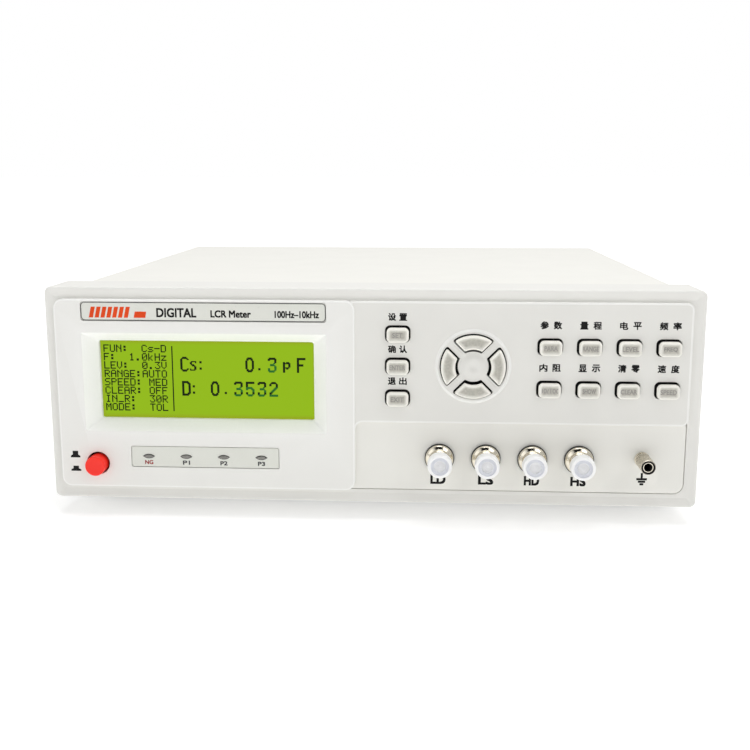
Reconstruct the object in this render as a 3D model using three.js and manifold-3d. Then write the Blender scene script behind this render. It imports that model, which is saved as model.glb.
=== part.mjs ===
// A benchtop LCR meter, built as an assembly of separate pieces.
// Millimetres. +X is to the right seen from the front, +Y runs to the rear and +Z is up.
// Inside the meter's group, y = 0 is the front plane of the bezel's outer band and z = 0 is
// the bezel's lower edge. The group is then placed so that the origin is at the middle of
// the whole meter's box, on the table that its feet stand on.
import * as THREE from "three";
import { mergeVertices } from "three/addons/utils/BufferGeometryUtils.js";
import Module from "manifold-3d";

const wasm = await Module();
wasm.setup();

// ---------------------------------------------------------------- driving dimensions

const GAP = 0.3; // clearance between two pieces that touch
const THROUGH = 2; // how far a cutter runs past the face that it cuts

const BEZEL = { width: 310, height: 104, depth: 25, corner: 3, edge: 1.2, wall: 2.7, back: 2.6 };
const LIP = 3; // how far the bezel stands out from the sheet-metal case all round
const CASE_REAR = 284;
const COVER_FRONT = 21; // the cover tucks into the bezel
const SHEET = 1.2;
const FOOT_HEIGHT = 12;

// Raised areas of the front, and the window that the terminal plate fills.
const DISPLAY_PANEL = { left: -150.3, right: -7.2, bottom: 6.4, top: 98.4, front: -1.5, corner: 4.5 };
const KEY_PANEL = { left: -9, right: 149, bottom: 40.2, top: 98.3, front: -1.0, corner: 3 };
const TERMINAL_WINDOW = { left: -14, right: 149, bottom: 6.4, top: 43.5, corner: 5 };
const TERMINAL_FRONT = 0.5;
const TERMINAL_BACK = 4.4;

// The display: a 192 x 64 dot graphic module behind a sloping-sided opening.
const LCD = { x: -79.1, z: 58.3 };
const FUNNEL = { outerWidth: 116.5, outerHeight: 47.7, width: 103.8, height: 38.5, back: 5.5 };
const LCD_FRAME = { width: 116, height: 49, back: 12, skin: 0.8 };
const LCD_GLASS = { width: 113.8, height: 46.8, front: 6.9, back: 11.9 };
const LCD_BOARD = { width: 130, height: 65, front: 12.3 };
const BOARD = 1.6; // thickness of every circuit board

const NAMEPLATE = { left: -137.4, right: -20.4, bottom: 88, top: 97.3, corner: 1.8 };
const NAMEPLATE_SINK = 0.4;
const STRIP = { left: -115.8, right: -43.6, bottom: 16.4, top: 27, corner: 1 };
const STRIP_SINK = 0.2;
const OVERLAY = 0.5; // thickness of the nameplate and the indicator strip

const LED_NAMES = ["led_ng", "led_p1", "led_p2", "led_p3"];
const LED = { x: -107.2, pitch: 18.3, z: 21.9, width: 5.4, height: 1.8, front: -1.9, back: 7.7 };

const POWER = { x: -132.5, z: 17.7, hole: 5.65, cap: 4.8, front: -6.1, back: 6 };
const POWER_STEM = { radius: 2.2, end: 16 };
const POWER_SWITCH = { width: 16, height: 14, front: 12, back: 42, bore: 2.6 };

// Keys: rectangular caps in rounded openings, with a flange behind the panel.
const KEY = { capWidth: 10.6, capHeight: 7, openWidth: 12.1, openHeight: 8.4, corner: 1.8 };
const KEY_FRONT = -4.2;
const KEY_EDGE = 0.6;
const FLANGE = { front: 2.9, back: 4.1, reach: 1 };
const SIDE_KEYS = { names: ["key_set", "key_enter", "key_exit"], x: 13, z: 82.7, pitch: 15.3 };
const KEY_COLUMNS = { x: 83.95, pitch: 18.15 };
const KEY_ROWS = [
  { z: 77.2, names: ["key_para", "key_range", "key_level", "key_freq"] },
  { z: 57.1, names: ["key_res", "key_disp", "key_zero", "key_speed"] },
];
const KEYPAD = { left: 4, right: 148, bottom: 48.5, top: 96, front: 9.4 };
const TACT = { side: 6, front: 5.9 };

// The four-way pad: sector keys between the spokes of a fixed hub, inside a raised ring.
const NAV = { x: 48.4, z: 67.9, ring: 17.3, outer: 15.6, inner: 7.7, spoke: 3.5, front: -3.9 };
const NAV_GAP = 0.55;
const NAV_KEYS = { nav_right: 0, nav_up: 90, nav_left: 180, nav_down: 270 };

// Terminals: four BNC jacks on the standard 22 mm pitch, and an earth post.
const BNC = { x: 33.2, pitch: 22, z: 22.8, names: ["ld", "ls", "hd", "hs"] };
const BARREL = { radius: 4.85, bore: 4.05, front: -12, root: -2.4, thread: 4.7 };
const CAP = { mouth: -9.3, tip: -13.8, mouthRadius: 5.85, tipRadius: 5.6, bore: 5.15, dish: 4.2 };
const POST = { x: 128.7, z: 23.7, stud: 2.65, socket: 1.95, front: -12.6, collar: 3.6, thread: 3 };
const POST_NUT = { radius: 3.5, bore: 2.95, front: -12.9, back: -2.2 };
const POST_WASHER = { radius: 3.4, front: -1.9, back: -1.3 };

// Rear panel and its connectors.
const REAR = { left: -150.4, right: 150.4, bottom: 3.2, top: 99.4, corner: 2, front: 281.8, back: 283.3 };
const INLET = { x: -108, z: 42, width: 27, height: 34, flangeWidth: 50, flangeHeight: 36 };
const INLET_Y = { front: 258, flange: 283.6, face: 286.6, recess: 269, pins: 281 };
const SOCKET = { width: 24.4, height: 16.4, rise: 7 };
const DRAWER = { width: 20, height: 7, drop: 11.5, front: 264, face: 286.9, back: 288.5 };
const SERIAL = { name: "serial_connector", x: -38, z: 38, shell: 16.9, flange: 30.8 };
const HANDLER = { name: "handler_connector", x: 48, z: 38, shell: 38.9, flange: 53 };
const DSUB = { shellHeight: 8.4, flangeHeight: 12.5, front: 272, flange: 283.6, plate: 284.6, tip: 288 };

// Feet, with a folding leg behind each front foot.
const FOOT = { x: 120, frontY: 52, rearY: 255, width: 28, length: 20 };
const EAR = { length: 10, thickness: 4, bottom: -6, top: 2.4 };
const LEG = { width: 19.4, length: 48, thickness: 5, pivotY: 67, pivotZ: -2, pin: 2, hub: 3 };

// Inside.
const TRANSFORMER = { x: -108, y: 185, width: 66, depth: 34, height: 56, window: 11, yoke: 11 };
const MAIN_BOARD = { left: -62, right: 146, front: 46, back: 262, z: 12 };
const SHIELD = { left: 24, right: 142, front: 58, back: 128, height: 28 };
const RESERVOIR = { radius: 14, height: 40, x: -35, y: 215 };
const RIBBON = { left: 108, right: 122 };

// ---------------------------------------------------------------- materials

function finish(colour, roughness, metalness = 0) {
  return new THREE.MeshStandardMaterial({ color: colour, roughness, metalness });
}

const MATERIALS = {
  moulding: finish(0xe4e3dd, 0.5),
  paint: finish(0xf0f0ea, 0.55),
  overlay: finish(0xe1e0da, 0.35),
  keycap: finish(0xc2beb5, 0.6),
  red: finish(0xeb483d, 0.35),
  display: finish(0x96bd21, 0.2),
  indicator: finish(0x9c9a94, 0.3),
  chrome: finish(0xd8d6cf, 0.12, 1),
  nickel: finish(0xb9b3a4, 0.3, 1),
  polythene: finish(0xf1f1f0, 0.4),
  rubber: finish(0x2b2b2c, 0.85),
  black: finish(0x1c1c1e, 0.5),
  zinc: finish(0xb7babc, 0.4, 0.9),
  board: finish(0x1f5c38, 0.5),
  copper: finish(0xb4652f, 0.4, 0.6),
  laminations: finish(0x4a4a4c, 0.6, 0.5),
  ribbon: finish(0xb8b8b4, 0.6),
};

// ---------------------------------------------------------------- solids

function toSolid(geometry) {
  const bare = geometry.clone();
  bare.deleteAttribute("normal");
  bare.deleteAttribute("uv");
  const merged = mergeVertices(bare, 1e-4);
  const vertProperties = merged.attributes.position.array;
  const triVerts = new Uint32Array(merged.index.array);
  return new wasm.Manifold(new wasm.Mesh({ numProp: 3, vertProperties, triVerts }));
}

function toGeometry(solid) {
  const { numProp, numVert, vertProperties, triVerts } = solid.getMesh();
  const positions = new Float32Array(numVert * 3);
  for (let i = 0; i < numVert; i++) {
    positions.set(vertProperties.subarray(i * numProp, i * numProp + 3), i * 3);
  }
  const geometry = new THREE.BufferGeometry();
  geometry.setAttribute("position", new THREE.BufferAttribute(positions, 3));
  geometry.setIndex(new THREE.BufferAttribute(triVerts, 1));
  geometry.computeVertexNormals();
  return geometry;
}

const join = (solids) => solids.reduce((whole, solid) => whole.add(solid));
const cut = (solid, cutters) => cutters.reduce((rest, cutter) => rest.subtract(cutter), solid);

// A rectangle in the front view with its corners rounded.
function roundedRect({ left, right, bottom, top }, radius) {
  const shape = new THREE.Shape();
  shape.moveTo(left + radius, bottom);
  shape.lineTo(right - radius, bottom);
  shape.absarc(right - radius, bottom + radius, radius, -Math.PI / 2, 0);
  shape.lineTo(right, top - radius);
  shape.absarc(right - radius, top - radius, radius, 0, Math.PI / 2);
  shape.lineTo(left + radius, top);
  shape.absarc(left + radius, top - radius, radius, Math.PI / 2, Math.PI);
  shape.lineTo(left, bottom + radius);
  shape.absarc(left + radius, bottom + radius, radius, Math.PI, 1.5 * Math.PI);
  return shape;
}

function polygon(points) {
  return new THREE.Shape(points.map(([x, z]) => new THREE.Vector2(x, z)));
}

const around = (x, z, width, height) => ({
  left: x - width / 2,
  right: x + width / 2,
  bottom: z - height / 2,
  top: z + height / 2,
});

const grow = ({ left, right, bottom, top }, by) => ({
  left: left - by,
  right: right + by,
  bottom: bottom - by,
  top: top + by,
});

// An outline in the front view, run back from y = front to y = back. A bevel breaks both ends.
function prism(outline, front, back, { bevel = 0, curveSegments = 2 } = {}) {
  const geometry = new THREE.ExtrudeGeometry(outline, {
    depth: back - front - 2 * bevel,
    bevelEnabled: bevel > 0,
    bevelThickness: bevel,
    bevelSize: bevel,
    bevelOffset: -bevel,
    bevelSegments: 1,
    curveSegments,
  });
  geometry.translate(0, 0, bevel);
  geometry.rotateX(Math.PI / 2);
  geometry.translate(0, back, 0);
  return toSolid(geometry);
}

// An outline of (y, z) points in the side view, run across from x = left to x = right.
function sideProfile(points, left, right) {
  const geometry = new THREE.ExtrudeGeometry(polygon(points), { depth: right - left, bevelEnabled: false });
  geometry.rotateX(Math.PI / 2);
  geometry.rotateZ(Math.PI / 2);
  geometry.translate(left, 0, 0);
  return toSolid(geometry);
}

function box({ left, right, bottom, top }, front, back) {
  const geometry = new THREE.BoxGeometry(right - left, back - front, top - bottom);
  geometry.translate((left + right) / 2, (front + back) / 2, (bottom + top) / 2);
  return toSolid(geometry);
}

// A box whose front face is one size and whose back face is another.
function taperedBox(x, z, frontSize, backSize, front, back) {
  const geometry = new THREE.BoxGeometry(1, 1, 1);
  const corners = geometry.attributes.position;
  for (let i = 0; i < corners.count; i++) {
    const atFront = corners.getY(i) < 0;
    const [width, height] = atFront ? frontSize : backSize;
    corners.setXYZ(i, x + corners.getX(i) * width, atFront ? front : back, z + corners.getZ(i) * height);
  }
  return toSolid(geometry);
}

// A profile of (radius, y) points turned about an axis along Y through (x, z).
function turned(profile, x, z, segments = 16) {
  const points = profile.map(([radius, y]) => new THREE.Vector2(radius, y));
  const geometry = new THREE.LatheGeometry(points, segments);
  geometry.translate(x, 0, z);
  return toSolid(geometry);
}

const rod = (radius, front, back, x, z, segments = 16) =>
  turned([[0, front], [radius, front], [radius, back], [0, back]], x, z, segments);

const upright = (radius, bottom, top, x, y, segments = 16) => {
  const geometry = new THREE.CylinderGeometry(radius, radius, top - bottom, segments);
  geometry.rotateX(Math.PI / 2);
  geometry.translate(x, y, (bottom + top) / 2);
  return toSolid(geometry);
};

const crossPin = (radius, left, right, y, z, segments = 16) => {
  const geometry = new THREE.CylinderGeometry(radius, radius, right - left, segments);
  geometry.rotateZ(Math.PI / 2);
  geometry.translate((left + right) / 2, y, z);
  return toSolid(geometry);
};

// One sector key of the four-way pad, grown outwards all round by "by".
function navSector(degrees, by) {
  const outer = NAV.outer + by;
  const inner = NAV.inner - by;
  const side = NAV.spoke / 2 - by;
  const middle = THREE.MathUtils.degToRad(degrees);
  const halfAngle = (radius) => Math.PI / 4 - Math.asin(side / radius);
  const shape = new THREE.Shape();
  shape.absarc(NAV.x, NAV.z, outer, middle - halfAngle(outer), middle + halfAngle(outer), false);
  shape.absarc(NAV.x, NAV.z, inner, middle + halfAngle(inner), middle - halfAngle(inner), true);
  return shape;
}

// ---------------------------------------------------------------- front

const keyPlaces = [
  ...SIDE_KEYS.names.map((name, i) => ({ name, x: SIDE_KEYS.x, z: SIDE_KEYS.z - i * SIDE_KEYS.pitch })),
  ...KEY_ROWS.flatMap(({ z, names }) =>
    names.map((name, i) => ({ name, x: KEY_COLUMNS.x + i * KEY_COLUMNS.pitch, z })),
  ),
];
const ledPlaces = LED_NAMES.map((name, i) => ({ name, x: LED.x + i * LED.pitch }));
const bncPlaces = BNC.names.map((name, i) => ({ name, x: BNC.x + i * BNC.pitch }));

function navBoss() {
  return turned(
    [
      [0, -2.3], [2.5, -2.7], [5.5, -2.5], [NAV.inner, -1.9], [NAV.outer, -1.9],
      [NAV.ring - 0.8, -1.7], [NAV.ring, -0.9], [NAV.ring, 1], [0, 1],
    ],
    NAV.x,
    NAV.z,
    24,
  );
}

function frontBezel() {
  const outline = around(0, BEZEL.height / 2, BEZEL.width, BEZEL.height);
  const shell = prism(roundedRect(outline, BEZEL.corner), 0, BEZEL.depth, { bevel: BEZEL.edge });
  const cavity = box(grow(outline, -BEZEL.wall), BEZEL.back, BEZEL.depth + THROUGH);
  const window = prism(roundedRect(TERMINAL_WINDOW, TERMINAL_WINDOW.corner), -THROUGH, BEZEL.back + THROUGH);
  const raised = [DISPLAY_PANEL, KEY_PANEL].map((panel) =>
    prism(roundedRect(panel, panel.corner), panel.front, 0),
  );
  const backing = cut(box(grow(outline, -2 * BEZEL.wall), 0, BEZEL.back), [window]);
  const funnelWall = box(around(LCD.x, LCD.z, 121.5, 52.7), 0, FUNNEL.back);
  const funnel = taperedBox(
    LCD.x,
    LCD.z,
    [FUNNEL.outerWidth, FUNNEL.outerHeight],
    [FUNNEL.width, FUNNEL.height],
    DISPLAY_PANEL.front,
    FUNNEL.back,
  );
  const openFront = box(around(LCD.x, LCD.z, FUNNEL.outerWidth, FUNNEL.outerHeight), -4, DISPLAY_PANEL.front);
  const openBack = box(around(LCD.x, LCD.z, FUNNEL.width, FUNNEL.height), FUNNEL.back, FUNNEL.back + 1);
  const pocket = (place, sink) =>
    prism(roundedRect(place, place.corner), -4, DISPLAY_PANEL.front + sink + OVERLAY + GAP);
  const keyHoles = keyPlaces.map(({ x, z }) =>
    prism(roundedRect(around(x, z, KEY.openWidth, KEY.openHeight), KEY.corner), -4, 4, { curveSegments: 1 }),
  );
  const navHoles = Object.values(NAV_KEYS).map((degrees) =>
    prism(navSector(degrees, 0), -4, 4, { curveSegments: 4 }),
  );
  const ledHoles = ledPlaces.map(({ x }) => box(around(x, LED.z, LED.width + 0.8, LED.height + 0.8), -4, 4));
  return cut(join([cut(shell, [cavity, window]), backing, ...raised, funnelWall, navBoss()]), [
    funnel,
    openFront,
    openBack,
    pocket(NAMEPLATE, NAMEPLATE_SINK),
    pocket(STRIP, STRIP_SINK),
    rod(POWER.hole, -4, 4, POWER.x, POWER.z, 24),
    ...keyHoles,
    ...navHoles,
    ...ledHoles,
  ]);
}

function overlay(place, sink, holes = []) {
  const front = DISPLAY_PANEL.front + sink;
  return cut(prism(roundedRect(grow(place, -GAP), place.corner), front, front + OVERLAY), holes);
}

const nameplate = () => overlay(NAMEPLATE, NAMEPLATE_SINK);

const indicatorStrip = () =>
  overlay(
    STRIP,
    STRIP_SINK,
    ledPlaces.map(({ x }) => box(around(x, LED.z, LED.width + 0.7, LED.height + 0.7), -4, 4)),
  );

function led(x) {
  const lens = roundedRect(around(x, LED.z, LED.width, LED.height), LED.height / 2 - 0.01);
  return prism(lens, LED.front, LED.back, { curveSegments: 4 });
}

const indicatorBoard = () => box(grow(STRIP, 2), LED.back + GAP, LED.back + GAP + BOARD);

function terminalPlate() {
  const land = prism(
    roundedRect(grow(TERMINAL_WINDOW, -0.4), TERMINAL_WINDOW.corner - 0.4),
    TERMINAL_FRONT,
    BEZEL.back + GAP,
  );
  const flange = box({ left: -17, right: 151.8, bottom: 3.4, top: 46.5 }, BEZEL.back + GAP, TERMINAL_BACK);
  const bncHoles = bncPlaces.map(({ x }) => rod(BARREL.thread + GAP, -1, 6, x, BNC.z));
  return cut(land.add(flange), [...bncHoles, rod(POST.thread + GAP, -1, 6, POST.x, POST.z)]);
}

// ---------------------------------------------------------------- display module

function lcdFrame() {
  const front = FUNNEL.back + GAP;
  const can = box(around(LCD.x, LCD.z, LCD_FRAME.width, LCD_FRAME.height), front, LCD_FRAME.back);
  const inner = around(
    LCD.x,
    LCD.z,
    LCD_FRAME.width - 2 * LCD_FRAME.skin,
    LCD_FRAME.height - 2 * LCD_FRAME.skin,
  );
  return cut(can, [
    box(inner, front + LCD_FRAME.skin, LCD_FRAME.back + THROUGH),
    box(around(LCD.x, LCD.z, FUNNEL.width + 0.6, FUNNEL.height + 0.6), front - THROUGH, front + THROUGH),
  ]);
}

const lcdLayer = ({ width, height, front, back }) => box(around(LCD.x, LCD.z, width, height), front, back);

// ---------------------------------------------------------------- controls

function powerButton() {
  const { cap, front, back } = POWER;
  const edge = 0.8;
  const profile = [
    [0, front], [cap - edge, front], [cap, front + edge], [cap, back],
    [POWER_STEM.radius, back], [POWER_STEM.radius, POWER_STEM.end], [0, POWER_STEM.end],
  ];
  return turned(profile, POWER.x, POWER.z, 24);
}

function powerSwitch() {
  const { width, height, front, back, bore } = POWER_SWITCH;
  const body = box(around(POWER.x, POWER.z, width, height), front, back);
  const pedestal = box(
    { left: POWER.x - 5, right: POWER.x + 5, bottom: LIP + SHEET + GAP, top: POWER.z },
    BEZEL.depth + 5,
    back - 2,
  );
  return cut(body.add(pedestal), [rod(bore, front - THROUGH, POWER_STEM.end + 3, POWER.x, POWER.z, 12)]);
}

function key(x, z) {
  const cap = prism(
    roundedRect(around(x, z, KEY.capWidth, KEY.capHeight), KEY.corner - 0.5),
    KEY_FRONT,
    FLANGE.back,
    { bevel: KEY_EDGE, curveSegments: 1 },
  );
  const flange = around(x, z, KEY.openWidth + 2 * FLANGE.reach, KEY.openHeight + 2 * FLANGE.reach);
  return cap.add(box(flange, FLANGE.front, FLANGE.back));
}

function navKey(degrees) {
  const cap = prism(navSector(degrees, -NAV_GAP), NAV.front, FLANGE.back, { curveSegments: 4 });
  return cap.add(prism(navSector(degrees, 0.4), FLANGE.front, FLANGE.back, { curveSegments: 4 }));
}

function keypadBoard() {
  const board = box(KEYPAD, KEYPAD.front, KEYPAD.front + BOARD);
  const navMiddle = (NAV.inner + NAV.outer) / 2;
  const navPlaces = Object.values(NAV_KEYS).map((degrees) => {
    const angle = THREE.MathUtils.degToRad(degrees);
    return { x: NAV.x + navMiddle * Math.cos(angle), z: NAV.z + navMiddle * Math.sin(angle) };
  });
  const switches = [...keyPlaces, ...navPlaces].map(({ x, z }) =>
    box(around(x, z, TACT.side, TACT.side), TACT.front, KEYPAD.front + 0.5),
  );
  return join([board, ...switches]);
}

// ---------------------------------------------------------------- terminals

function bncJack(x) {
  const seat = TERMINAL_FRONT - GAP;
  const nut = TERMINAL_BACK + GAP;
  const body = turned(
    [
      [0, -9.2], [2.45, -9.2], [2.45, -3], [BARREL.bore, -3], [BARREL.bore, BARREL.front],
      [BARREL.radius, BARREL.front], [BARREL.radius, BARREL.root], [6, BARREL.root],
      [7.05, -0.8], [7.05, seat], [BARREL.thread, seat], [BARREL.thread, nut],
      [7.2, nut], [7.2, nut + 2.5], [2.4, nut + 2.5], [2.4, 13.5], [0, 13.5],
    ],
    x,
    BNC.z,
  );
  return body.add(crossPin(1, x - 5.5, x - 4.4, -8, BNC.z, 8)).add(crossPin(1, x + 4.4, x + 5.5, -8, BNC.z, 8));
}

function dustCap(x) {
  const { mouth, tip, mouthRadius, tipRadius, bore, dish } = CAP;
  return turned(
    [
      [0, tip + 0.8], [dish, tip + 0.8], [dish, tip], [tipRadius - 0.5, tip], [tipRadius, tip + 0.5],
      [mouthRadius, mouth], [bore, mouth], [bore, BARREL.front - GAP], [0, BARREL.front - GAP],
    ],
    x,
    BNC.z,
  );
}

function groundPost() {
  const seat = TERMINAL_FRONT - GAP;
  const nut = TERMINAL_BACK + GAP;
  return turned(
    [
      [0, -2.5], [POST.socket, -2.5], [POST.socket, POST.front], [POST.stud, POST.front],
      [POST.stud, -1], [POST.collar, -1], [POST.collar, seat], [POST.thread, seat],
      [POST.thread, nut], [5, nut], [5, nut + 2.5], [POST.thread, nut + 2.5], [POST.thread, 11], [0, 11],
    ],
    POST.x,
    POST.z,
  );
}

const ring = (outer, inner, front, back, x, z) =>
  turned([[inner, front], [outer, front], [outer, back], [inner, back], [inner, front]], x, z, 20);

// ---------------------------------------------------------------- case

// The cover is one sheet folded down both sides, with cooling slots low in each side.
function topCover() {
  const side = BEZEL.width / 2 - LIP;
  const top = BEZEL.height - LIP;
  const fold = 2.5;
  const outer = { left: -side, right: side, bottom: LIP, top };
  const inner = { left: SHEET - side, right: side - SHEET, bottom: LIP - 10, top: top - SHEET };
  const open = roundedRect(inner, fold - SHEET);
  const sheet = cut(prism(roundedRect({ ...outer, bottom: LIP - 10 }, fold), COVER_FRONT, CASE_REAR), [
    prism(open, COVER_FRONT - THROUGH, CASE_REAR + THROUGH),
    box({ left: -side - 1, right: side + 1, bottom: LIP - 12, top: LIP }, 0, CASE_REAR + THROUGH),
  ]);
  const slots = Array.from({ length: 9 }, (_, i) =>
    box({ left: -side - 1, right: side + 1, bottom: 24, top: 50 }, 168 + i * 10, 168 + i * 10 + 3),
  );
  return cut(sheet, slots);
}

function chassisTray() {
  const half = BEZEL.width / 2 - LIP - SHEET - GAP;
  const back = REAR.front - GAP;
  const floor = box({ left: -half, right: half, bottom: LIP, top: LIP + SHEET }, 7, back);
  const flange = (left) => box({ left, right: left + SHEET, bottom: LIP, top: 18 }, COVER_FRONT + 3, back);
  const frontLip = box({ left: -half, right: half, bottom: LIP, top: 9 }, BEZEL.depth + 2, BEZEL.depth + 2 + SHEET);
  return join([floor, flange(-half), flange(half - SHEET), frontLip]);
}

function rearPanel() {
  const hole = ({ x, z }, width, height) =>
    box(around(x, z, width + 2 * GAP, height + 2 * GAP), REAR.front - THROUGH, REAR.back + THROUGH);
  const slots = Array.from({ length: 12 }, (_, i) =>
    box({ left: 96 + i * 4, right: 98 + i * 4, bottom: 56, top: 86 }, REAR.front - 1, REAR.back + 1),
  );
  return cut(prism(roundedRect(REAR, REAR.corner), REAR.front, REAR.back), [
    hole(INLET, INLET.width, INLET.height),
    hole(SERIAL, SERIAL.shell + 2, DSUB.shellHeight + 1),
    hole(HANDLER, HANDLER.shell + 2, DSUB.shellHeight + 1),
    ...slots,
  ]);
}

function foot(y) {
  const outline = around(FOOT.x, y, FOOT.width, FOOT.length);
  const geometry = new THREE.ExtrudeGeometry(roundedRect(outline, 3), {
    depth: FOOT_HEIGHT - GAP,
    bevelEnabled: false,
    curveSegments: 3,
  });
  geometry.translate(0, 0, LIP - FOOT_HEIGHT);
  return toSolid(geometry);
}

// A front foot has two ears at its rear that hold the leg's pins.
function frontFoot() {
  const rear = FOOT.frontY + FOOT.length / 2;
  const half = FOOT.width / 2;
  const ear = (left) =>
    box({ left, right: left + EAR.thickness, bottom: EAR.bottom, top: EAR.top }, rear - 2, rear + EAR.length);
  const ears = [FOOT.x - half, FOOT.x + half - EAR.thickness].map(ear);
  const bore = crossPin(LEG.pin + GAP, FOOT.x - half - 1, FOOT.x + half + 1, LEG.pivotY, LEG.pivotZ, 12);
  return cut(join([foot(FOOT.frontY), ...ears]), [bore]);
}

function tiltLeg() {
  const half = LEG.width / 2;
  const pinHalf = FOOT.width / 2 - GAP;
  const plate = box(
    {
      left: FOOT.x - half,
      right: FOOT.x + half,
      bottom: LEG.pivotZ - LEG.thickness / 2,
      top: LEG.pivotZ + LEG.thickness / 2,
    },
    LEG.pivotY,
    LEG.pivotY + LEG.length,
  );
  const hub = crossPin(LEG.hub, FOOT.x - half, FOOT.x + half, LEG.pivotY, LEG.pivotZ);
  const pins = crossPin(LEG.pin, FOOT.x - pinHalf, FOOT.x + pinHalf, LEG.pivotY, LEG.pivotZ, 12);
  return join([plate, hub, pins]);
}

// ---------------------------------------------------------------- rear connectors

function powerInlet() {
  const body = box(around(INLET.x, INLET.z, INLET.width, INLET.height), INLET_Y.front, INLET_Y.flange + 0.1);
  const flange = prism(
    roundedRect(around(INLET.x, INLET.z, INLET.flangeWidth, INLET.flangeHeight), 5),
    INLET_Y.flange,
    INLET_Y.face,
  );
  const socketZ = INLET.z + SOCKET.rise;
  const { left, right, bottom, top } = around(INLET.x, socketZ, SOCKET.width, SOCKET.height);
  const slant = 5;
  const socket = prism(
    polygon([[left, bottom], [right, bottom], [right, top - slant], [right - slant, top],
      [left + slant, top], [left, top - slant]]),
    INLET_Y.recess,
    INLET_Y.face + THROUGH,
  );
  const pinPlaces = [[-7, -2], [0, 2], [7, -2]];
  const pins = pinPlaces.map(([x, z]) =>
    box(around(INLET.x + x, socketZ + z, 2, 4), INLET_Y.recess - 1, INLET_Y.pins),
  );
  const drawerHole = box(
    around(INLET.x, INLET.z - DRAWER.drop, DRAWER.width + 2 * GAP, DRAWER.height + 2 * GAP),
    DRAWER.front - GAP,
    INLET_Y.face + THROUGH,
  );
  return join([cut(body.add(flange), [socket, drawerHole]), ...pins]);
}

function fuseDrawer() {
  const z = INLET.z - DRAWER.drop;
  const tray = box(around(INLET.x, z, DRAWER.width, DRAWER.height), DRAWER.front, DRAWER.face + 0.1);
  return tray.add(box(around(INLET.x, z, DRAWER.width + 3, DRAWER.height + 2), DRAWER.face, DRAWER.back));
}

// A D-shaped connector: a metal plate and shell round the insulator that carries its contacts.
function dsub({ x, z, shell, flange }) {
  const slant = 1.2;
  const dShape = (width, height) => {
    const { left, right, bottom, top } = around(x, z, width, height);
    return polygon([[left + slant, bottom], [right - slant, bottom], [right, top], [left, top]]);
  };
  const body = prism(dShape(shell, DSUB.shellHeight), DSUB.front, DSUB.tip);
  const hollow = prism(dShape(shell - 1.2, DSUB.shellHeight - 1.2), DSUB.plate + 0.6, DSUB.tip + THROUGH);
  const plate = prism(
    roundedRect(around(x, z, flange, DSUB.flangeHeight), 2),
    DSUB.flange,
    DSUB.plate,
  );
  return cut(body.add(plate), [hollow]);
}

// ---------------------------------------------------------------- inside

function transformerCore() {
  const { x, y, width, depth, height, window, yoke } = TRANSFORMER;
  const bottom = LIP + SHEET + GAP;
  const core = box({ left: x - width / 2, right: x + width / 2, bottom, top: bottom + height }, y - depth / 2,
    y + depth / 2);
  const windows = [-1, 1].map((side) => {
    const middle = x + side * (width / 2 - yoke - window / 2);
    const opening = { left: middle - window / 2, right: middle + window / 2 };
    return box({ ...opening, bottom: bottom + yoke, top: bottom + height - yoke }, y - depth, y + depth);
  });
  return cut(core, windows);
}

function transformerWinding() {
  const { x, y, width, depth, height, window, yoke } = TRANSFORMER;
  const bottom = LIP + SHEET + GAP + yoke + GAP;
  const top = LIP + SHEET + GAP + height - yoke - GAP;
  const limb = width / 2 - yoke - window;
  const outer = limb + window - GAP;
  const bulge = depth / 2 + window - 1;
  const coil = box({ left: x - outer, right: x + outer, bottom, top }, y - bulge, y + bulge);
  const hole = box(
    { left: x - limb - GAP, right: x + limb + GAP, bottom: bottom - 1, top: top + 1 },
    y - depth / 2 - GAP,
    y + depth / 2 + GAP,
  );
  return cut(coil, [hole]);
}

function mainBoard() {
  const { left, right, front, back, z } = MAIN_BOARD;
  const board = box({ left, right, bottom: z, top: z + BOARD }, front, back);
  const standoffs = [left + 8, right - 8].flatMap((x) =>
    [front + 8, back - 8].map((y) => upright(3, LIP + SHEET + GAP, z + 0.5, x, y, 8)),
  );
  return join([board, ...standoffs]);
}

const onBoard = MAIN_BOARD.z + BOARD + GAP;

function shieldBox() {
  const { left, right, front, back, height } = SHIELD;
  const skin = 0.8;
  const can = box({ left, right, bottom: onBoard, top: onBoard + height }, front, back);
  return cut(can, [
    box({ left: left + skin, right: right - skin, bottom: onBoard - 1, top: onBoard + height - skin },
      front + skin, back - skin),
  ]);
}

const reservoirCapacitor = () =>
  upright(RESERVOIR.radius, onBoard, onBoard + RESERVOIR.height, RESERVOIR.x, RESERVOIR.y);

// The flat cable runs from the back of the keypad board down to the front of the main board.
function ribbonCable() {
  const back = KEYPAD.front + BOARD + GAP;
  const upper = [[back, 62], [back, 48], [24, 34], [40, 17], [56, onBoard]];
  const lower = [[56, onBoard + 1], [40.6, 18.2], [24.8, 35], [back + 1, 48.6], [back + 1, 62]];
  return sideProfile([...upper, ...lower], RIBBON.left, RIBBON.right);
}

// ---------------------------------------------------------------- assembly

const meter = new THREE.Group();

function place(name, solid, material) {
  const mesh = new THREE.Mesh(toGeometry(solid), material);
  mesh.name = name;
  meter.add(mesh);
  return mesh;
}

// A piece of the right-hand side, and its mirrored copy on the left.
function placePair(name, make, material) {
  place(name + "_right", make(), material);
  place(name + "_left", make().mirror([1, 0, 0]), material);
}

place("front_bezel", frontBezel(), MATERIALS.moulding);
place("terminal_plate", terminalPlate(), MATERIALS.moulding);
place("nameplate", nameplate(), MATERIALS.overlay);
place("indicator_strip", indicatorStrip(), MATERIALS.overlay);
ledPlaces.forEach(({ name, x }) => place(name, led(x), MATERIALS.indicator));
place("indicator_board", indicatorBoard(), MATERIALS.board);

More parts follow.
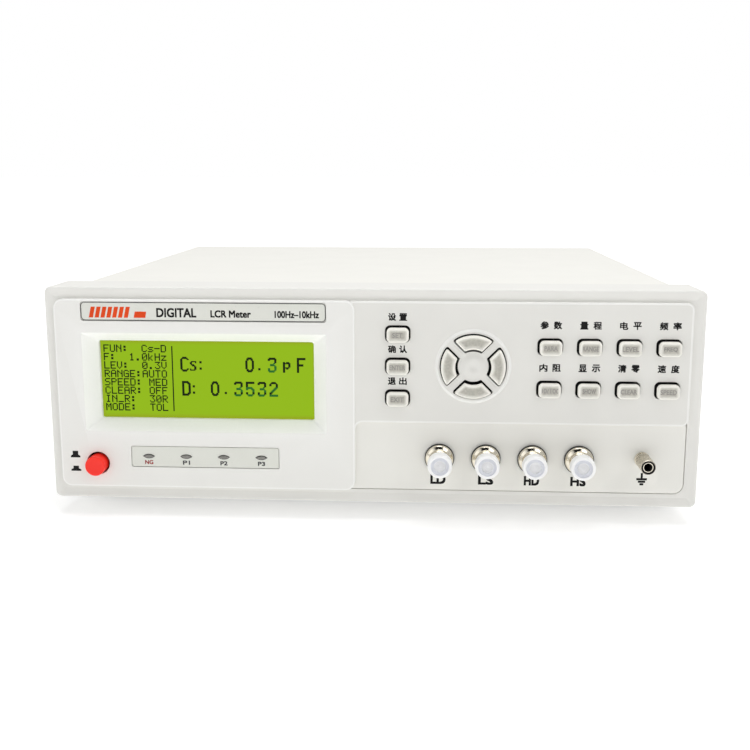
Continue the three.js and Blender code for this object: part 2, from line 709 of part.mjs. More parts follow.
place("lcd_frame", lcdFrame(), MATERIALS.black);
place("lcd_glass", lcdLayer(LCD_GLASS), MATERIALS.display);
place("lcd_board", lcdLayer({ ...LCD_BOARD, back: LCD_BOARD.front + BOARD }), MATERIALS.board);

place("power_button", powerButton(), MATERIALS.red);
place("power_switch", powerSwitch(), MATERIALS.black);
keyPlaces.forEach(({ name, x, z }) => place(name, key(x, z), MATERIALS.keycap));
Object.entries(NAV_KEYS).forEach(([name, degrees]) => place(name, navKey(degrees), MATERIALS.keycap));
place("keypad_board", keypadBoard(), MATERIALS.board);

bncPlaces.forEach(({ name, x }) => {
  place("bnc_" + name, bncJack(x), MATERIALS.chrome);
  place("dust_cap_" + name, dustCap(x), MATERIALS.polythene);
});
place("ground_post", groundPost(), MATERIALS.nickel);
place(
  "ground_washer",
  ring(POST_WASHER.radius, POST_NUT.bore, POST_WASHER.front, POST_WASHER.back, POST.x, POST.z),
  MATERIALS.nickel,
);
place(
  "ground_nut",
  ring(POST_NUT.radius, POST_NUT.bore, POST_NUT.front, POST_NUT.back, POST.x, POST.z),
  MATERIALS.nickel,
);

place("top_cover", topCover(), MATERIALS.paint);
place("chassis_tray", chassisTray(), MATERIALS.zinc);
place("rear_panel", rearPanel(), MATERIALS.paint);
placePair("front_foot", frontFoot, MATERIALS.rubber);
placePair("rear_foot", () => foot(FOOT.rearY), MATERIALS.rubber);
placePair("tilt_leg", tiltLeg, MATERIALS.black);

place("power_inlet", powerInlet(), MATERIALS.black);
place("fuse_drawer", fuseDrawer(), MATERIALS.black);
place(SERIAL.name, dsub(SERIAL), MATERIALS.zinc);
place(HANDLER.name, dsub(HANDLER), MATERIALS.zinc);

place("transformer_core", transformerCore(), MATERIALS.laminations);
place("transformer_winding", transformerWinding(), MATERIALS.copper);
place("main_board", mainBoard(), MATERIALS.board);
place("shield_box", shieldBox(), MATERIALS.zinc);
place("ribbon_cable", ribbonCable(), MATERIALS.ribbon);
place("reservoir_capacitor", reservoirCapacitor(), MATERIALS.black);

// The origin goes to the middle of the box, on the table.
meter.position.set(0, -(CAP.tip + DRAWER.back) / 2, FOOT_HEIGHT - LIP);

const group = new THREE.Group();
group.add(meter);
export default group;
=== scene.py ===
import math

import bmesh
import bpy
from mathutils import Matrix, Vector
from mathutils.geometry import tessellate_polygon


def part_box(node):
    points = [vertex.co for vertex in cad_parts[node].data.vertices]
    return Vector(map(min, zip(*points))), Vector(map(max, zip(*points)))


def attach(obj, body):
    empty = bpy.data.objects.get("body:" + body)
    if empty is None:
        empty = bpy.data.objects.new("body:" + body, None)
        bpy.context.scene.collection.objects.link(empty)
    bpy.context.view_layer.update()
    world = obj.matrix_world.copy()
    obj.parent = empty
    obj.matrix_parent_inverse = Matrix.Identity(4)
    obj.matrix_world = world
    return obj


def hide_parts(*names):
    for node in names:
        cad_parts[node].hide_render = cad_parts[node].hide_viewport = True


# The looks of a benchtop LCR meter. Shapes are worked out in millimetres from the bezel's front plane
# (y = 0) and its lower edge (z = 0), and become metres in the shared frame when a piece is built.

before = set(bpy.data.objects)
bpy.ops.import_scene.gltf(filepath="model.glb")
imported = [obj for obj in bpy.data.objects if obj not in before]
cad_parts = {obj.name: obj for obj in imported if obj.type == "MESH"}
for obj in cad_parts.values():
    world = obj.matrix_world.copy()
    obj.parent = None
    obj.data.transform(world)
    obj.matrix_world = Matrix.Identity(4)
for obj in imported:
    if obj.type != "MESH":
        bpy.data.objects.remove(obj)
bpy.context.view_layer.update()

MM = 0.001
BEZEL_DEPTH = 25
bezel_low, bezel_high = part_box("front_bezel")
ORIGIN = Vector(((bezel_low.x + bezel_high.x) / 2, bezel_high.y - BEZEL_DEPTH * MM, bezel_low.z))


def ends(node):
    """The lowest and highest corner of a CAD node, in millimetres from the bezel."""
    return [(corner - ORIGIN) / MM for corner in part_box(node)]


def middle(node):
    low, high = ends(node)
    return (low + high) / 2


# ---------------------------------------------------------------- materials


def shade(red, green, blue):
    """A colour given as 0 to 255 on screen, as the shader wants it."""
    def linear(value):
        value /= 255
        return value / 12.92 if value <= 0.04045 else ((value + 0.055) / 1.055) ** 2.4
    return (linear(red), linear(green), linear(blue), 1)


class Tree:
    """A node tree, with short calls for what the finishes and the studio share."""

    def __init__(self, tree):
        self.tree = tree

    def add(self, kind, **settings):
        node = self.tree.nodes.new(kind)
        for key, value in settings.items():
            if key in node.inputs:
                node.inputs[key].default_value = value
            else:
                setattr(node, key, value)
        return node

    def link(self, source, target):
        self.tree.links.new(source, target)

    def ramp(self, fac, low, high, start=0.3, end=0.7):
        """Fades between two colours, as fac goes from start to end."""
        node = self.add("ShaderNodeValToRGB")
        first, last = node.color_ramp.elements
        first.position, first.color = start, low
        last.position, last.color = end, high
        self.link(fac, node.inputs["Fac"])
        return node.outputs["Color"]

    def end_in(self, output, share, first, second):
        """Ends the tree in a mix of two shaders."""
        mix = self.add("ShaderNodeMixShader")
        for source, socket in zip((share, first, second), mix.inputs):
            self.link(source, socket)
        self.link(mix.outputs[0], self.tree.nodes[output].inputs["Surface"])


class Nodes(Tree):
    """A material's node tree."""

    def __init__(self, name):
        self.material = bpy.data.materials.new(name)
        self.material.use_nodes = True
        super().__init__(self.material.node_tree)
        self.shader = self.tree.nodes["Principled BSDF"]
        self.place = self.add("ShaderNodeTexCoord").outputs["Object"]

    def set(self, **sockets):
        for key, value in sockets.items():
            self.shader.inputs[key.replace("_", " ")].default_value = value

    def noise(self, scale, detail=2, roughness=0.5):
        """Cloudy noise with features of about 1 / scale metres."""
        node = self.add("ShaderNodeTexNoise", Scale=scale, Detail=detail, Roughness=roughness)
        self.link(self.place, node.inputs["Vector"])
        return node.outputs["Fac"]

    def tint(self):
        """How far each point of a piece is on the way to its second colour."""
        return self.add("ShaderNodeAttribute", attribute_name="tint").outputs["Fac"]

    def spread(self, fac, low, high, start=0.3, end=0.7):
        node = self.add("ShaderNodeMapRange")
        for socket, value in zip(("From Min", "From Max", "To Min", "To Max"), (start, end, low, high)):
            node.inputs[socket].default_value = value
        self.link(fac, node.inputs["Value"])
        return node.outputs["Result"]

    def bump(self, height, strength, distance):
        node = self.add("ShaderNodeBump", Strength=strength, Distance=distance)
        self.link(height, node.inputs["Height"])
        self.link(node.outputs["Normal"], self.shader.inputs["Normal"])

    def colour(self, source):
        self.link(source, self.shader.inputs["Base Color"])

    def gloss(self, fac, low, high):
        self.link(self.spread(fac, low, high), self.shader.inputs["Roughness"])

    def grain(self, scale, rough, depth):
        """A fine grain in the surface, with a gloss that follows it."""
        fine = self.noise(scale, detail=3)
        self.gloss(fine, rough * 0.85, rough * 1.15)
        self.bump(fine, 0.5, depth * MM)


def scaled(colour, factor):
    return (*(min(1, channel * factor) for channel in colour[:3]), 1)


CLOUD, SPECKLE, GRAIN = 45, 900, 1500  # features in a metre: a slow drift, blotches, a fine grain


def finish(name, colour, rough, metallic=0.0, grain=GRAIN, depth=0.02, mottle=0.03, cloud=CLOUD, **sockets):
    """A finish with a fine grain in its surface and its gloss, and a slow drift in colour."""
    nodes = Nodes(name)
    nodes.set(Metallic=metallic, **sockets)
    drift = nodes.noise(cloud)
    nodes.colour(nodes.ramp(drift, scaled(colour, 1 - mottle), scaled(colour, 1 + mottle)))
    nodes.grain(grain, rough, depth)
    return nodes.material


def two_tone_and_painted_light(name, plain, low, high, rough):
    """A finish that turns from its plain colour into a blotched one where a piece's tint says so. On the
    keycaps that is their greyer middle; on the moulding it is near white, a painted highlight that lightens
    the faces given a tint.
    """
    nodes = Nodes(name)
    blotches = nodes.ramp(nodes.noise(SPECKLE, detail=3), low, high)
    ground = nodes.ramp(nodes.noise(CLOUD), scaled(plain, 0.988), scaled(plain, 1.012))
    mix = nodes.add("ShaderNodeMix", data_type="RGBA")
    colours = [socket for socket in mix.inputs if socket.type == "RGBA"]
    nodes.link(nodes.tint(), mix.inputs[0])
    nodes.link(ground, colours[0])
    nodes.link(blotches, colours[1])
    nodes.colour([socket for socket in mix.outputs if socket.type == "RGBA"][0])
    nodes.grain(1800, rough, 0.02)
    return nodes.material


def display_finish(low, high, margin):
    """Backlit yellow-green glass that turns duller and yellower within a margin of its edges, partly as the
    backlight fades there and partly as painted shade cast by the surround.
    """
    nodes = Nodes("lcd_glass")
    split = nodes.add("ShaderNodeSeparateXYZ")
    nodes.link(nodes.place, split.inputs["Vector"])

    def rise(axis, start, end):
        """Nought at one edge of the window, rising to one at the margin."""
        return nodes.spread(split.outputs[axis], 0, 1, start, end)

    edges = [rise("X", low.x, low.x + margin), rise("X", high.x, high.x - margin),
             rise("Z", low.z, low.z + margin), rise("Z", high.z, high.z - margin)]
    inside = edges[0]
    for edge in edges[1:]:
        least = nodes.add("ShaderNodeMath", operation="MINIMUM")
        nodes.link(inside, least.inputs[0])
        nodes.link(edge, least.inputs[1])
        inside = least.outputs[0]
    # The edge colour is the duller, yellower one: partly the backlight fading, partly painted shade.
    glow = nodes.ramp(inside, shade(150, 163, 32), shade(147, 187, 22), 0.36, 0.58)
    nodes.link(glow, nodes.shader.inputs["Emission Color"])
    nodes.set(Emission_Strength=0.97, Roughness=0.2, Specular_IOR_Level=0.06, Base_Color=shade(20, 26, 8))
    nodes.bump(nodes.noise(300), 0.1, 0.01 * MM)
    return nodes.material


def cap_finish():
    """Milky low-density polythene, turning bluish grey where a piece's tint says so, as painted shade."""
    nodes = Nodes("polythene")
    nodes.set(Subsurface_Weight=0.4, Subsurface_Scale=0.003, IOR=1.5)
    nodes.shader.inputs["Subsurface Radius"].default_value = (1, 1, 1)
    nodes.colour(nodes.ramp(nodes.tint(), shade(253, 253, 253), shade(219, 221, 229), 0, 1))
    nodes.gloss(nodes.noise(500), 0.3, 0.42)
    nodes.bump(nodes.noise(900), 0.3, 0.03 * MM)
    return nodes.material


def chrome_finish(name, colour, rough):
    """Bright plating with faint turning marks."""
    nodes = Nodes(name)
    nodes.set(Metallic=1.0)
    nodes.colour(nodes.ramp(nodes.noise(400), scaled(colour, 0.95), scaled(colour, 1.03)))
    nodes.gloss(nodes.noise(1800), rough * 0.7, rough * 1.4)
    nodes.bump(nodes.noise(2500), 0.15, 0.01 * MM)
    return nodes.material


# The moulding's second colour is near white: where a piece's tint asks for it, it paints light onto those
# faces, a painted highlight.
MOULDING = two_tone_and_painted_light("front_moulding", shade(231, 230, 225), shade(252, 252, 250), shade(254, 254, 252), 0.5)
TERMINAL = finish("terminal_plate", shade(238, 237, 231), 0.5, depth=0.025, mottle=0.012)
OVERLAY = finish("overlay", shade(225, 226, 218), 0.32, grain=900, depth=0.012, mottle=0.01)
LENS = finish("indicator_lens", shade(146, 144, 138), 0.25, mottle=0.05, Transmission_Weight=0.2)
BOARD = finish("circuit_board", shade(31, 92, 56), 0.45, mottle=0.15, cloud=300)
# Painted shadow round the rim of each jack's flange.
SHADOW_RING_BLACK = finish("black_metal", shade(28, 28, 30), 0.45)
GLASS = display_finish(*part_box("lcd_glass"), margin=11 * MM)
DOT = finish("lcd_dot", shade(22, 36, 8), 0.5, Specular_IOR_Level=0.1)
DOT_WEAK = finish("lcd_dot_fading", shade(44, 112, 44), 0.5, Specular_IOR_Level=0.1)
RED = finish("red_button", shade(255, 44, 30), 0.36, depth=0.012, mottle=0.05, Specular_IOR_Level=0.35)
BLACK = finish("black_plastic", shade(30, 30, 32), 0.42, depth=0.03, mottle=0.1)
KEYCAP = two_tone_and_painted_light("keycap", shade(246, 244, 236), shade(172, 170, 160), shade(193, 190, 180), 0.5)
# Black that stands in for shade: painted shade in the gaps round the keys and the button, in the earth post's
# socket and round its stud.
SHADE_BLACK = finish("key_skirt", shade(24, 24, 25), 0.7, mottle=0.1)
CHROME = chrome_finish("plated_connector", shade(228, 221, 205), 0.15)
POLYTHENE = cap_finish()
NICKEL = chrome_finish("nickel", shade(214, 207, 192), 0.26)
PAINT = finish("case_paint", shade(239, 238, 232), 0.5, grain=700, depth=0.05, mottle=0.01)
STEEL = finish("plated_steel", shade(190, 192, 192), 0.35, metallic=1.0, mottle=0.12, cloud=120)
RUBBER = finish("foot_rubber", shade(42, 42, 43), 0.85, grain=1100, depth=0.05, mottle=0.12)
LAMINATIONS = finish("laminations", shade(78, 78, 80), 0.55, metallic=0.6, mottle=0.2, cloud=500)
WINDING = finish("winding", shade(178, 108, 56), 0.4, mottle=0.2, cloud=900)
CAN = finish("aluminium_can", shade(40, 42, 52), 0.35, mottle=0.1)
RIBBON = finish("ribbon", shade(186, 186, 182), 0.55, mottle=0.08, cloud=900)
INK = finish("ink_black", shade(18, 17, 17), 0.6, mottle=0.1, grain=3000, Specular_IOR_Level=0.2)
INK_GREY = finish("ink_grey", shade(52, 52, 56), 0.5, mottle=0.1, grain=3000)
INK_FAINT = finish("ink_faint", shade(150, 147, 143), 0.5, mottle=0.15, grain=3000)
INK_RED = finish("ink_red", shade(150, 44, 44), 0.5, mottle=0.1, grain=3000)
INK_ORANGE = finish("ink_orange", shade(224, 72, 22), 0.6, mottle=0.08, grain=3000, Specular_IOR_Level=0.2)
PTFE = finish("ptfe", shade(236, 235, 228), 0.4)
GOLD = chrome_finish("gold", shade(226, 180, 84), 0.18)

# ---------------------------------------------------------------- outlines
# An outline is a function: given how far to shrink it, it returns its (x, z) points, anticlockwise.


def arc(x, z, radius, start, end, steps):
    """Points on a circle, from one angle in quarter turns to another."""
    turns = [(start + (end - start) * i / steps) * math.pi / 2 for i in range(steps + 1)]
    return [(x + radius * math.cos(a), z + radius * math.sin(a)) for a in turns]


def rounded(left, right, bottom, top, radius, steps=6):
    def outline(by=0.0):
        r = max(radius - by, 0.12)
        inset = by + r
        centres = ((right - inset, top - inset), (left + inset, top - inset),
                   (left + inset, bottom + inset), (right - inset, bottom + inset))
        return [p for k, (x, z) in enumerate(centres) for p in arc(x, z, r, k, k + 1, steps)]
    return outline


def centred(x, z, width, height, radius, steps=6):
    return rounded(x - width / 2, x + width / 2, z - height / 2, z + height / 2, radius, steps)


def circle(x, z, radius, steps=72):
    return lambda by=0.0: arc(x, z, radius - by, 0, 4, steps)[:-1]


def polygon(points):
    """A polygon that shrinks evenly, with its corners kept."""
    def outline(by=0.0):
        moved = []
        for i, here in enumerate(points):
            before, after = Vector(points[i - 1]), Vector(points[(i + 1) % len(points)])
            here = Vector(here)
            sides = [(here - before).normalized(), (after - here).normalized()]
            inward = [Vector((-side.y, side.x)) for side in sides]
            both = inward[0] + inward[1]
            moved.append(tuple(here + both * by / (both.dot(inward[0]))))
        return moved
    return outline


def soft_polygon(points, radius):
    """A polygon that shrinks evenly, with round corners."""
    sharp = polygon(points)

    def outline(by=0.0):
        return [tuple(p) for p in soften([(*corner, max(radius - by, 0.15)) for corner in sharp(by)])]
    return outline


def sector(x, z, turn, inner, outer, side, corner, inner_corner):
    """A quarter of a ring between two spokes, with its four corners rounded."""
    def outline(by=0.0):
        far, near, edge = outer - by, inner + by, side + by
        soft, small = max(corner - by, 0.3), max(inner_corner - by, 0.15)

        def at(radius, sign, back=0.0):
            angle = turn + sign * (math.pi / 4 - math.asin(edge / radius) - back / radius)
            return Vector((x + radius * math.cos(angle), z + radius * math.sin(angle)))

        points = curve(at(far - soft, -1), at(far, -1), at(far, -1, soft), 5)
        points += sweep_arc(x, z, at(far, -1, soft), at(far, 1, soft), 14)
        points += curve(at(far, 1, soft), at(far, 1), at(far - soft, 1), 5)
        points += curve(at(near + small, 1), at(near, 1), at(near, 1, small), 5)
        points += sweep_arc(x, z, at(near, 1, small), at(near, -1, small), 8)
        points += curve(at(near, -1, small), at(near, -1), at(near + small, -1), 5)
        return [tuple(p) for p in points]
    return outline


def pointed(x, z, width, height, steps=10):
    """Two arcs that meet in a point at the left and the right."""
    def outline(by=0.0):
        half, rise = width / 2 - by, height / 2 - by
        radius = (half * half + rise * rise) / (2 * rise)
        reach = math.asin(half / radius)
        turns = [reach - 2 * reach * i / steps for i in range(steps)]
        upper = [(radius * math.sin(a), radius * math.cos(a) - (radius - rise)) for a in turns]
        return [(x + a, z + b) for a, b in upper] + [(x - a, z - b) for a, b in upper]
    return outline


def curve(start, corner, end, steps):
    """A round corner: a curve from start to end that leaves and arrives along the two sides."""
    shares = [i / steps for i in range(steps + 1)]
    return [start * (1 - t) ** 2 + corner * 2 * t * (1 - t) + end * t * t for t in shares]


def sweep_arc(x, z, start, end, steps):
    """The points between start and end on their circle about (x, z), without the two ends."""
    first = math.atan2(start.y - z, start.x - x)
    turn = (math.atan2(end.y - z, end.x - x) - first + math.pi) % (2 * math.pi) - math.pi
    radius = math.hypot(start.x - x, start.y - z)
    angles = [first + turn * i / steps for i in range(1, steps)]
    return [Vector((x + radius * math.cos(a), z + radius * math.sin(a))) for a in angles]


def soften(path, steps=4):
    """A path of (a, b) points, in which a point (a, b, radius) becomes a round corner."""
    out = []
    for i, point in enumerate(path):
        corner = Vector(point[:2])
        if len(point) == 2:
            out.append(corner)
            continue
        before = Vector(path[i - 1][:2]) - corner
        after = Vector(path[(i + 1) % len(path)][:2]) - corner
        cut = min(point[2], before.length * 0.49, after.length * 0.49)
        out += curve(corner + before.normalized() * cut, corner, corner + after.normalized() * cut, steps)
    return out


# ---------------------------------------------------------------- closed meshes


class Shell:
    """A closed mesh made of loops of points, with strips that join loops and caps that fill them."""

    def __init__(self):
        self.points, self.faces, self.tints = [], [], []

    def loop(self, outline, y, tint=0.0):
        start = len(self.points)
        self.points += [Vector((x, y, z)) for x, z in outline]
        self.tints += [tint] * len(outline)
        return list(range(start, len(self.points)))

    def join(self, loops):
        for a, b in zip(loops, loops[1:]):
            count = len(a)
            self.faces += [(a[i], a[(i + 1) % count], b[(i + 1) % count], b[i]) for i in range(count)]
        return loops

    def sweep(self, outline, profile, tint=0.0, steps=4):
        """Strips through a profile of (inset, y) points. The tint is a number or depends on the inset.

        Returns the first and the last loop.
        """
        loops = [self.loop(outline(inset), y, tint(inset) if callable(tint) else tint)
                 for inset, y in soften(profile, steps)]
        self.join(loops)
        return loops[0], loops[-1]

    def cap(self, outer, *holes):
        if not holes:
            self.faces.append(tuple(outer))
            return
        loops = [outer, *holes]
        order = [i for loop in loops for i in loop]
        triangles = tessellate_polygon([[self.points[i] for i in loop] for loop in loops])
        self.faces += [tuple(order[i] for i in triangle) for triangle in triangles]

    def caps(self, loops):
        for loop in loops:
            self.cap(loop)

    def solid(self, outline, profile, tint=0.0):
        """A sweep with both its ends filled."""
        self.caps(self.sweep(outline, profile, tint))

    def slab(self, outline, front, back, edge=0.3, back_edge=None, holes=(), hole_edge=0.2):
        """A plate with softened edges, and holes right through it."""
        reach = edge * 1.5
        rear = edge if back_edge is None else back_edge
        first, last = self.sweep(outline, [(reach, front), (0, front, edge), (0, back, rear), (reach, back)])
        lip = hole_edge * 1.5
        cuts = [self.sweep(hole, [(-lip, front), (0, front, hole_edge), (0, back)]) for hole in holes]
        self.cap(first, *near(cuts))
        self.cap(last, *far(cuts))

    def turn(self, x, z, profile, steps=72, ridge=None, closed=False, tint=lambda radius, y: 0.0):
        """A profile of (radius, y) points turned about an axis along Y."""
        loops = []
        for radius, y in soften(profile):
            ring = arc(0, 0, 1, 0, 4, steps)[:-1]
            size = [radius - (ridge(i, y) if ridge else 0) for i in range(steps)]
            outline = [(x + a * s, z + b * s) for (a, b), s in zip(ring, size)]
            loops.append(self.loop(outline, y, tint(radius, y)))
        if closed:
            loops.append(loops[0])
        else:
            self.caps((loops[0], loops[-1]))
        self.join(loops)

    def move(self, start, matrix):
        """Moves the points from number start on."""
        for i in range(start, len(self.points)):
            self.points[i] = matrix @ self.points[i]


def near(pairs):
    """The first loops of some sweeps."""
    return [pair[0] for pair in pairs]


def far(pairs):
    """The last loops of some sweeps."""
    return [pair[1] for pair in pairs]


def rimmed(face, back):
    """The profile of a hole whose front edge is broken."""
    return [(-0.3, face), (0, face, 0.2), (0, back)]


def show(mesh, name, material, body, replaces, sharp):
    """Makes a piece of a mesh that is in the shared frame."""
    work = bmesh.new()
    work.from_mesh(mesh)
    bmesh.ops.remove_doubles(work, verts=work.verts, dist=1e-7)
    bmesh.ops.recalc_face_normals(work, faces=work.faces)
    work.to_mesh(mesh)
    work.free()
    mesh.shade_smooth()
    mesh.set_sharp_from_angle(angle=math.radians(sharp))
    mesh.materials.append(material)
    piece = bpy.data.objects.new(name, mesh)
    bpy.context.scene.collection.objects.link(piece)
    weighted = piece.modifiers.new("flat faces stay flat", "WEIGHTED_NORMAL")
    weighted.keep_sharp = True
    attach(piece, body)
    if replaces:
        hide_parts(*replaces)
    return piece


def build(shell, name, material, body="root", replaces=(), sharp=35):
    mesh = bpy.data.meshes.new(name)
    mesh.from_pydata([ORIGIN + point * MM for point in shell.points], [], shell.faces)
    if any(shell.tints):
        tint = mesh.attributes.new("tint", "FLOAT", "POINT")
        tint.data.foreach_set("value", shell.tints)
    return show(mesh, name, material, body, replaces, sharp)


def turned(name, material, slot, at, profile, steps=72, body="root", replaces=(), sharp=35, **shape):
    """A piece that is one turned profile."""
    shell = Shell()
    shell.turn(at.x, at.z, profile, steps, **shape)
    build(shell, name, material, body, replaces, sharp)


def plate(name, material, slot, node, outline, *edges, **holes):
    """A piece that is one flat plate, from the front to the back of its CAD node."""
    low, high = ends(node)
    shell = Shell()
    shell.slab(outline, low.y, high.y, *edges, **holes)
    build(shell, name, material, replaces=[node])


def own_outline(node, radius, grow=0.0):
    """The outline of a CAD node from the front, with round corners."""
    low, high = ends(node)
    return rounded(low.x - grow, high.x + grow, low.z - grow, high.z + grow, radius)


# ---------------------------------------------------------------- front

DISPLAY = {"left": -150.3, "right": -7.2, "bottom": 6.4, "top": 98.4, "front": -1.5}
KEYS = {"left": -9, "right": 149, "bottom": 40.2, "top": 98.3, "front": -1.0}
WINDOW = {"left": -14, "right": 149, "bottom": 6.4, "top": 43.5, "corner": 5}
WALL = 2.7
BACK = 2.6
BAND, BAND_DROP = 4.5, 1.1  # the outer band slopes inwards, by this much over this width
SIDE_KEYS = ["set", "enter", "exit"]
ROW_KEYS = ["para", "range", "level", "freq", "res", "disp", "zero", "speed"]
ALL_KEYS = SIDE_KEYS + ROW_KEYS
LEDS = ["led_ng", "led_p1", "led_p2", "led_p3"]
JACKS = ["bnc_ld", "bnc_ls", "bnc_hd", "bnc_hs"]
NAV = {"right": 0, "up": 1, "left": 2, "down": 3}  # quarter turns from the right
NAV_RING = 17.3
NAV_FACE = -1.9
HUB, DIMPLE = 6.6, 2.5  # radii in the middle of the four-way pad
nav_x = middle("nav_up").x
nav_z = (ends("nav_up")[1].z + ends("nav_down")[0].z) / 2
lcd = middle("lcd_glass")
FUNNEL_FRONT = (116.5, 47.7)
FUNNEL_BACK = (104.5, 38.5)
FUNNEL_ASIDE = -0.3
FUNNEL_DEPTH = 5.5
COLLAR_DEPTH = 6.85  # a thin collar reaches from the sloping sides to the glass
BUTTON_HOLE = 5.65
# How far each part of the moulding is on the way to its palest colour: painted light, a little on the frame,
# more on the display panel's face, most on the panels' lips and the pad's ring as painted highlights.
FRAME_PAINTED_LIGHT, PANEL_PAINTED_LIGHT, LIP_PAINTED_HIGHLIGHT, EDGE_PAINTED_HIGHLIGHT = 0.1, 0.32, 0.75, 0.55


def key_hole(name):
    """The opening round a key, a little off the key's middle as the real ones are."""
    place = middle("key_" + name)
    left, right = (-5.9, 6.0) if name in SIDE_KEYS else (-5.95, 5.8)
    below, above = 3.85, 4.3
    return rounded(place.x + left, place.x + right, place.z - below, place.z + above, 2.5)


def nav_hole(name):
    return sector(nav_x, nav_z, NAV[name] * math.pi / 2, inner=7.25, outer=15.6, side=1.75, corner=1.3,
                  inner_corner=0.4)


def nav_cap(name):
    return sector(nav_x, nav_z - 0.1, NAV[name] * math.pi / 2, inner=8.4, outer=15.1, side=2.45, corner=1.1,
                  inner_corner=0.4)


def frame_shell():
    """The outer frame: a rounded rim round one opening, and side walls that run back to the case."""
    low, high = ends("front_bezel")
    shell = Shell()
    profile = [(BAND, BAND_DROP), (0, 0, 1.5), (0, BEZEL_DEPTH, 0.4), (WALL, BEZEL_DEPTH, 0.3), (WALL, BACK)]
    # The whole frame is painted a little lighter, as painted light.
    front, back = shell.sweep(own_outline("front_bezel", 3), profile, FRAME_PAINTED_LIGHT, 6)
    margin = 7
    left, right, bottom, top = low.x + margin, WINDOW["right"], WINDOW["bottom"], high.z - margin
    r = WINDOW["corner"]
    opening = [(left, bottom + 1.6), (WINDOW["left"], bottom + 1.6), (WINDOW["left"], bottom)]
    opening += arc(right - r, bottom + r, r, 3, 4, 10)
    opening += [(right, WINDOW["top"]), (right - 1, WINDOW["top"]), (right - 1, top), (left, top)]
    hole = shell.sweep(polygon(opening), [(-0.6, BAND_DROP), (0, BAND_DROP, 0.4), (0, BACK)], FRAME_PAINTED_LIGHT)
    shell.cap(front, hole[0])
    shell.cap(back, hole[1])
    return shell


def display_slab(shell):
    """The raised left-hand panel, with the sloping-sided display opening and the pockets."""
    face = DISPLAY["front"]
    edge = rounded(DISPLAY["left"], DISPLAY["right"], DISPLAY["bottom"], DISPLAY["top"], 4.5, 8)
    # The panel's face is painted lighter, as painted light, and its lip lighter still, as a painted
    # highlight.
    front, back = shell.sweep(edge, [(0.75, face), (0.7, face), (0, face, 0.65), (0, BACK)],
                              lambda inset: LIP_PAINTED_HIGHLIGHT if inset < 0.72 else PANEL_PAINTED_LIGHT, 6)

    def window(size, radius, y, tint, by=0.0, aside=0.0):
        outline = centred(lcd.x + aside, lcd.z, size[0] + 2 * by, size[1] + 2 * by, radius)
        return shell.loop(outline(), y, tint)

    # The funnel's sloping sides and its collar are painted near white, a painted highlight; its outer edge
    # half so.
    funnel = [window(FUNNEL_FRONT, 0.6, face, 0.5, 0.25), window(FUNNEL_FRONT, 0.5, face + 0.2, 1)]
    for by, y in ((0, FUNNEL_DEPTH - 0.3), (0, COLLAR_DEPTH), (0.8, COLLAR_DEPTH), (0.8, FUNNEL_DEPTH)):
        funnel.append(window(FUNNEL_BACK, 1.2, y, 1, by, FUNNEL_ASIDE))
    funnel += [window(FUNNEL_FRONT, 0.6, y, 0, 2.5) for y in (FUNNEL_DEPTH, BACK)]
    shell.join(funnel)

    def pocket(node, depth, corner):
        profile = [(-0.22, face), (0, face, 0.2), (0, face + depth)]
        return shell.sweep(own_outline(node, corner, 0.3), profile, PANEL_PAINTED_LIGHT)

    nameplate, strip = pocket("nameplate", 1.2, 1.5), pocket("indicator_strip", 1.0, 1)
    shell.cap(nameplate[1])
    leds = [shell.sweep(centred(middle(name).x, middle(name).z, 6.8, 2.6, 0.5), [(0, face + 1.0), (0, BACK)])
            for name in LEDS]
    shell.cap(strip[1], *near(leds))
    button = middle("power_button")
    power = shell.sweep(circle(button.x + 0.25, button.z + 0.35, BUTTON_HOLE), rimmed(face, BACK), PANEL_PAINTED_LIGHT)
    shell.cap(front, funnel[0], nameplate[0], strip[0], power[0])
    shell.cap(back, funnel[-1], power[1], *far(leds))


def key_slab(shell):
    """The raised right-hand panel, with the key openings and the pad's fixed ring, spokes and hub."""
    face = KEYS["front"]
    left, right, bottom, top = KEYS["left"], KEYS["right"], KEYS["bottom"], KEYS["top"]
    fillet, corner = 4, 3
    edge = DISPLAY["right"]
    points = [(left, bottom - fillet), (edge, bottom - fillet)]
    points += arc(edge + fillet, bottom - fillet, fillet, 2, 1, 8)[1:]
    points += arc(right - corner, bottom + corner, corner, 3, 4, 8)
    points += arc(right - corner, top - corner, corner, 0, 1, 8)
    points += [(left, top)]
    # The panel's lip gets a painted highlight.
    front, back = shell.sweep(polygon(points), [(0.95, face), (0.9, face), (0, face, 0.8), (0, BACK)],
                              lambda inset: EDGE_PAINTED_HIGHLIGHT if inset < 0.92 else 0, 6)
    holes = [shell.sweep(key_hole(name), rimmed(face, BACK)) for name in ALL_KEYS]
    # The ring round the pad gets a painted highlight on its rise.
    rise = [(-1.2, face), (-0.3, face, 0.5), (0.5, NAV_FACE, 0.9), (1.0, NAV_FACE)]
    foot, rim = shell.sweep(circle(nav_x, nav_z, NAV_RING, 96), rise,
                            lambda inset: EDGE_PAINTED_HIGHLIGHT if -0.5 < inset < 0.95 else 0)
    sectors = [shell.sweep(nav_hole(name), rimmed(NAV_FACE, BACK)) for name in NAV]

    def dome(radius):
        """The hub is a low dome with a soft dimple in its middle."""
        return NAV_FACE - 1.5 * (1 - (radius / HUB) ** 2) ** 1.5 + 1.5 * math.exp(-((radius / DIMPLE) ** 2))

    rings = 14
    hub = [shell.loop(arc(nav_x, nav_z, r, 0, 4, 48)[:-1], dome(r))
           for r in [HUB * (1 - i / rings) for i in range(rings)]]
    shell.join(hub)
    shell.cap(hub[-1])
    shell.cap(front, foot, *near(holes))
    shell.cap(rim, hub[0], *near(sectors))
    shell.cap(back, *far(holes), *far(sectors))


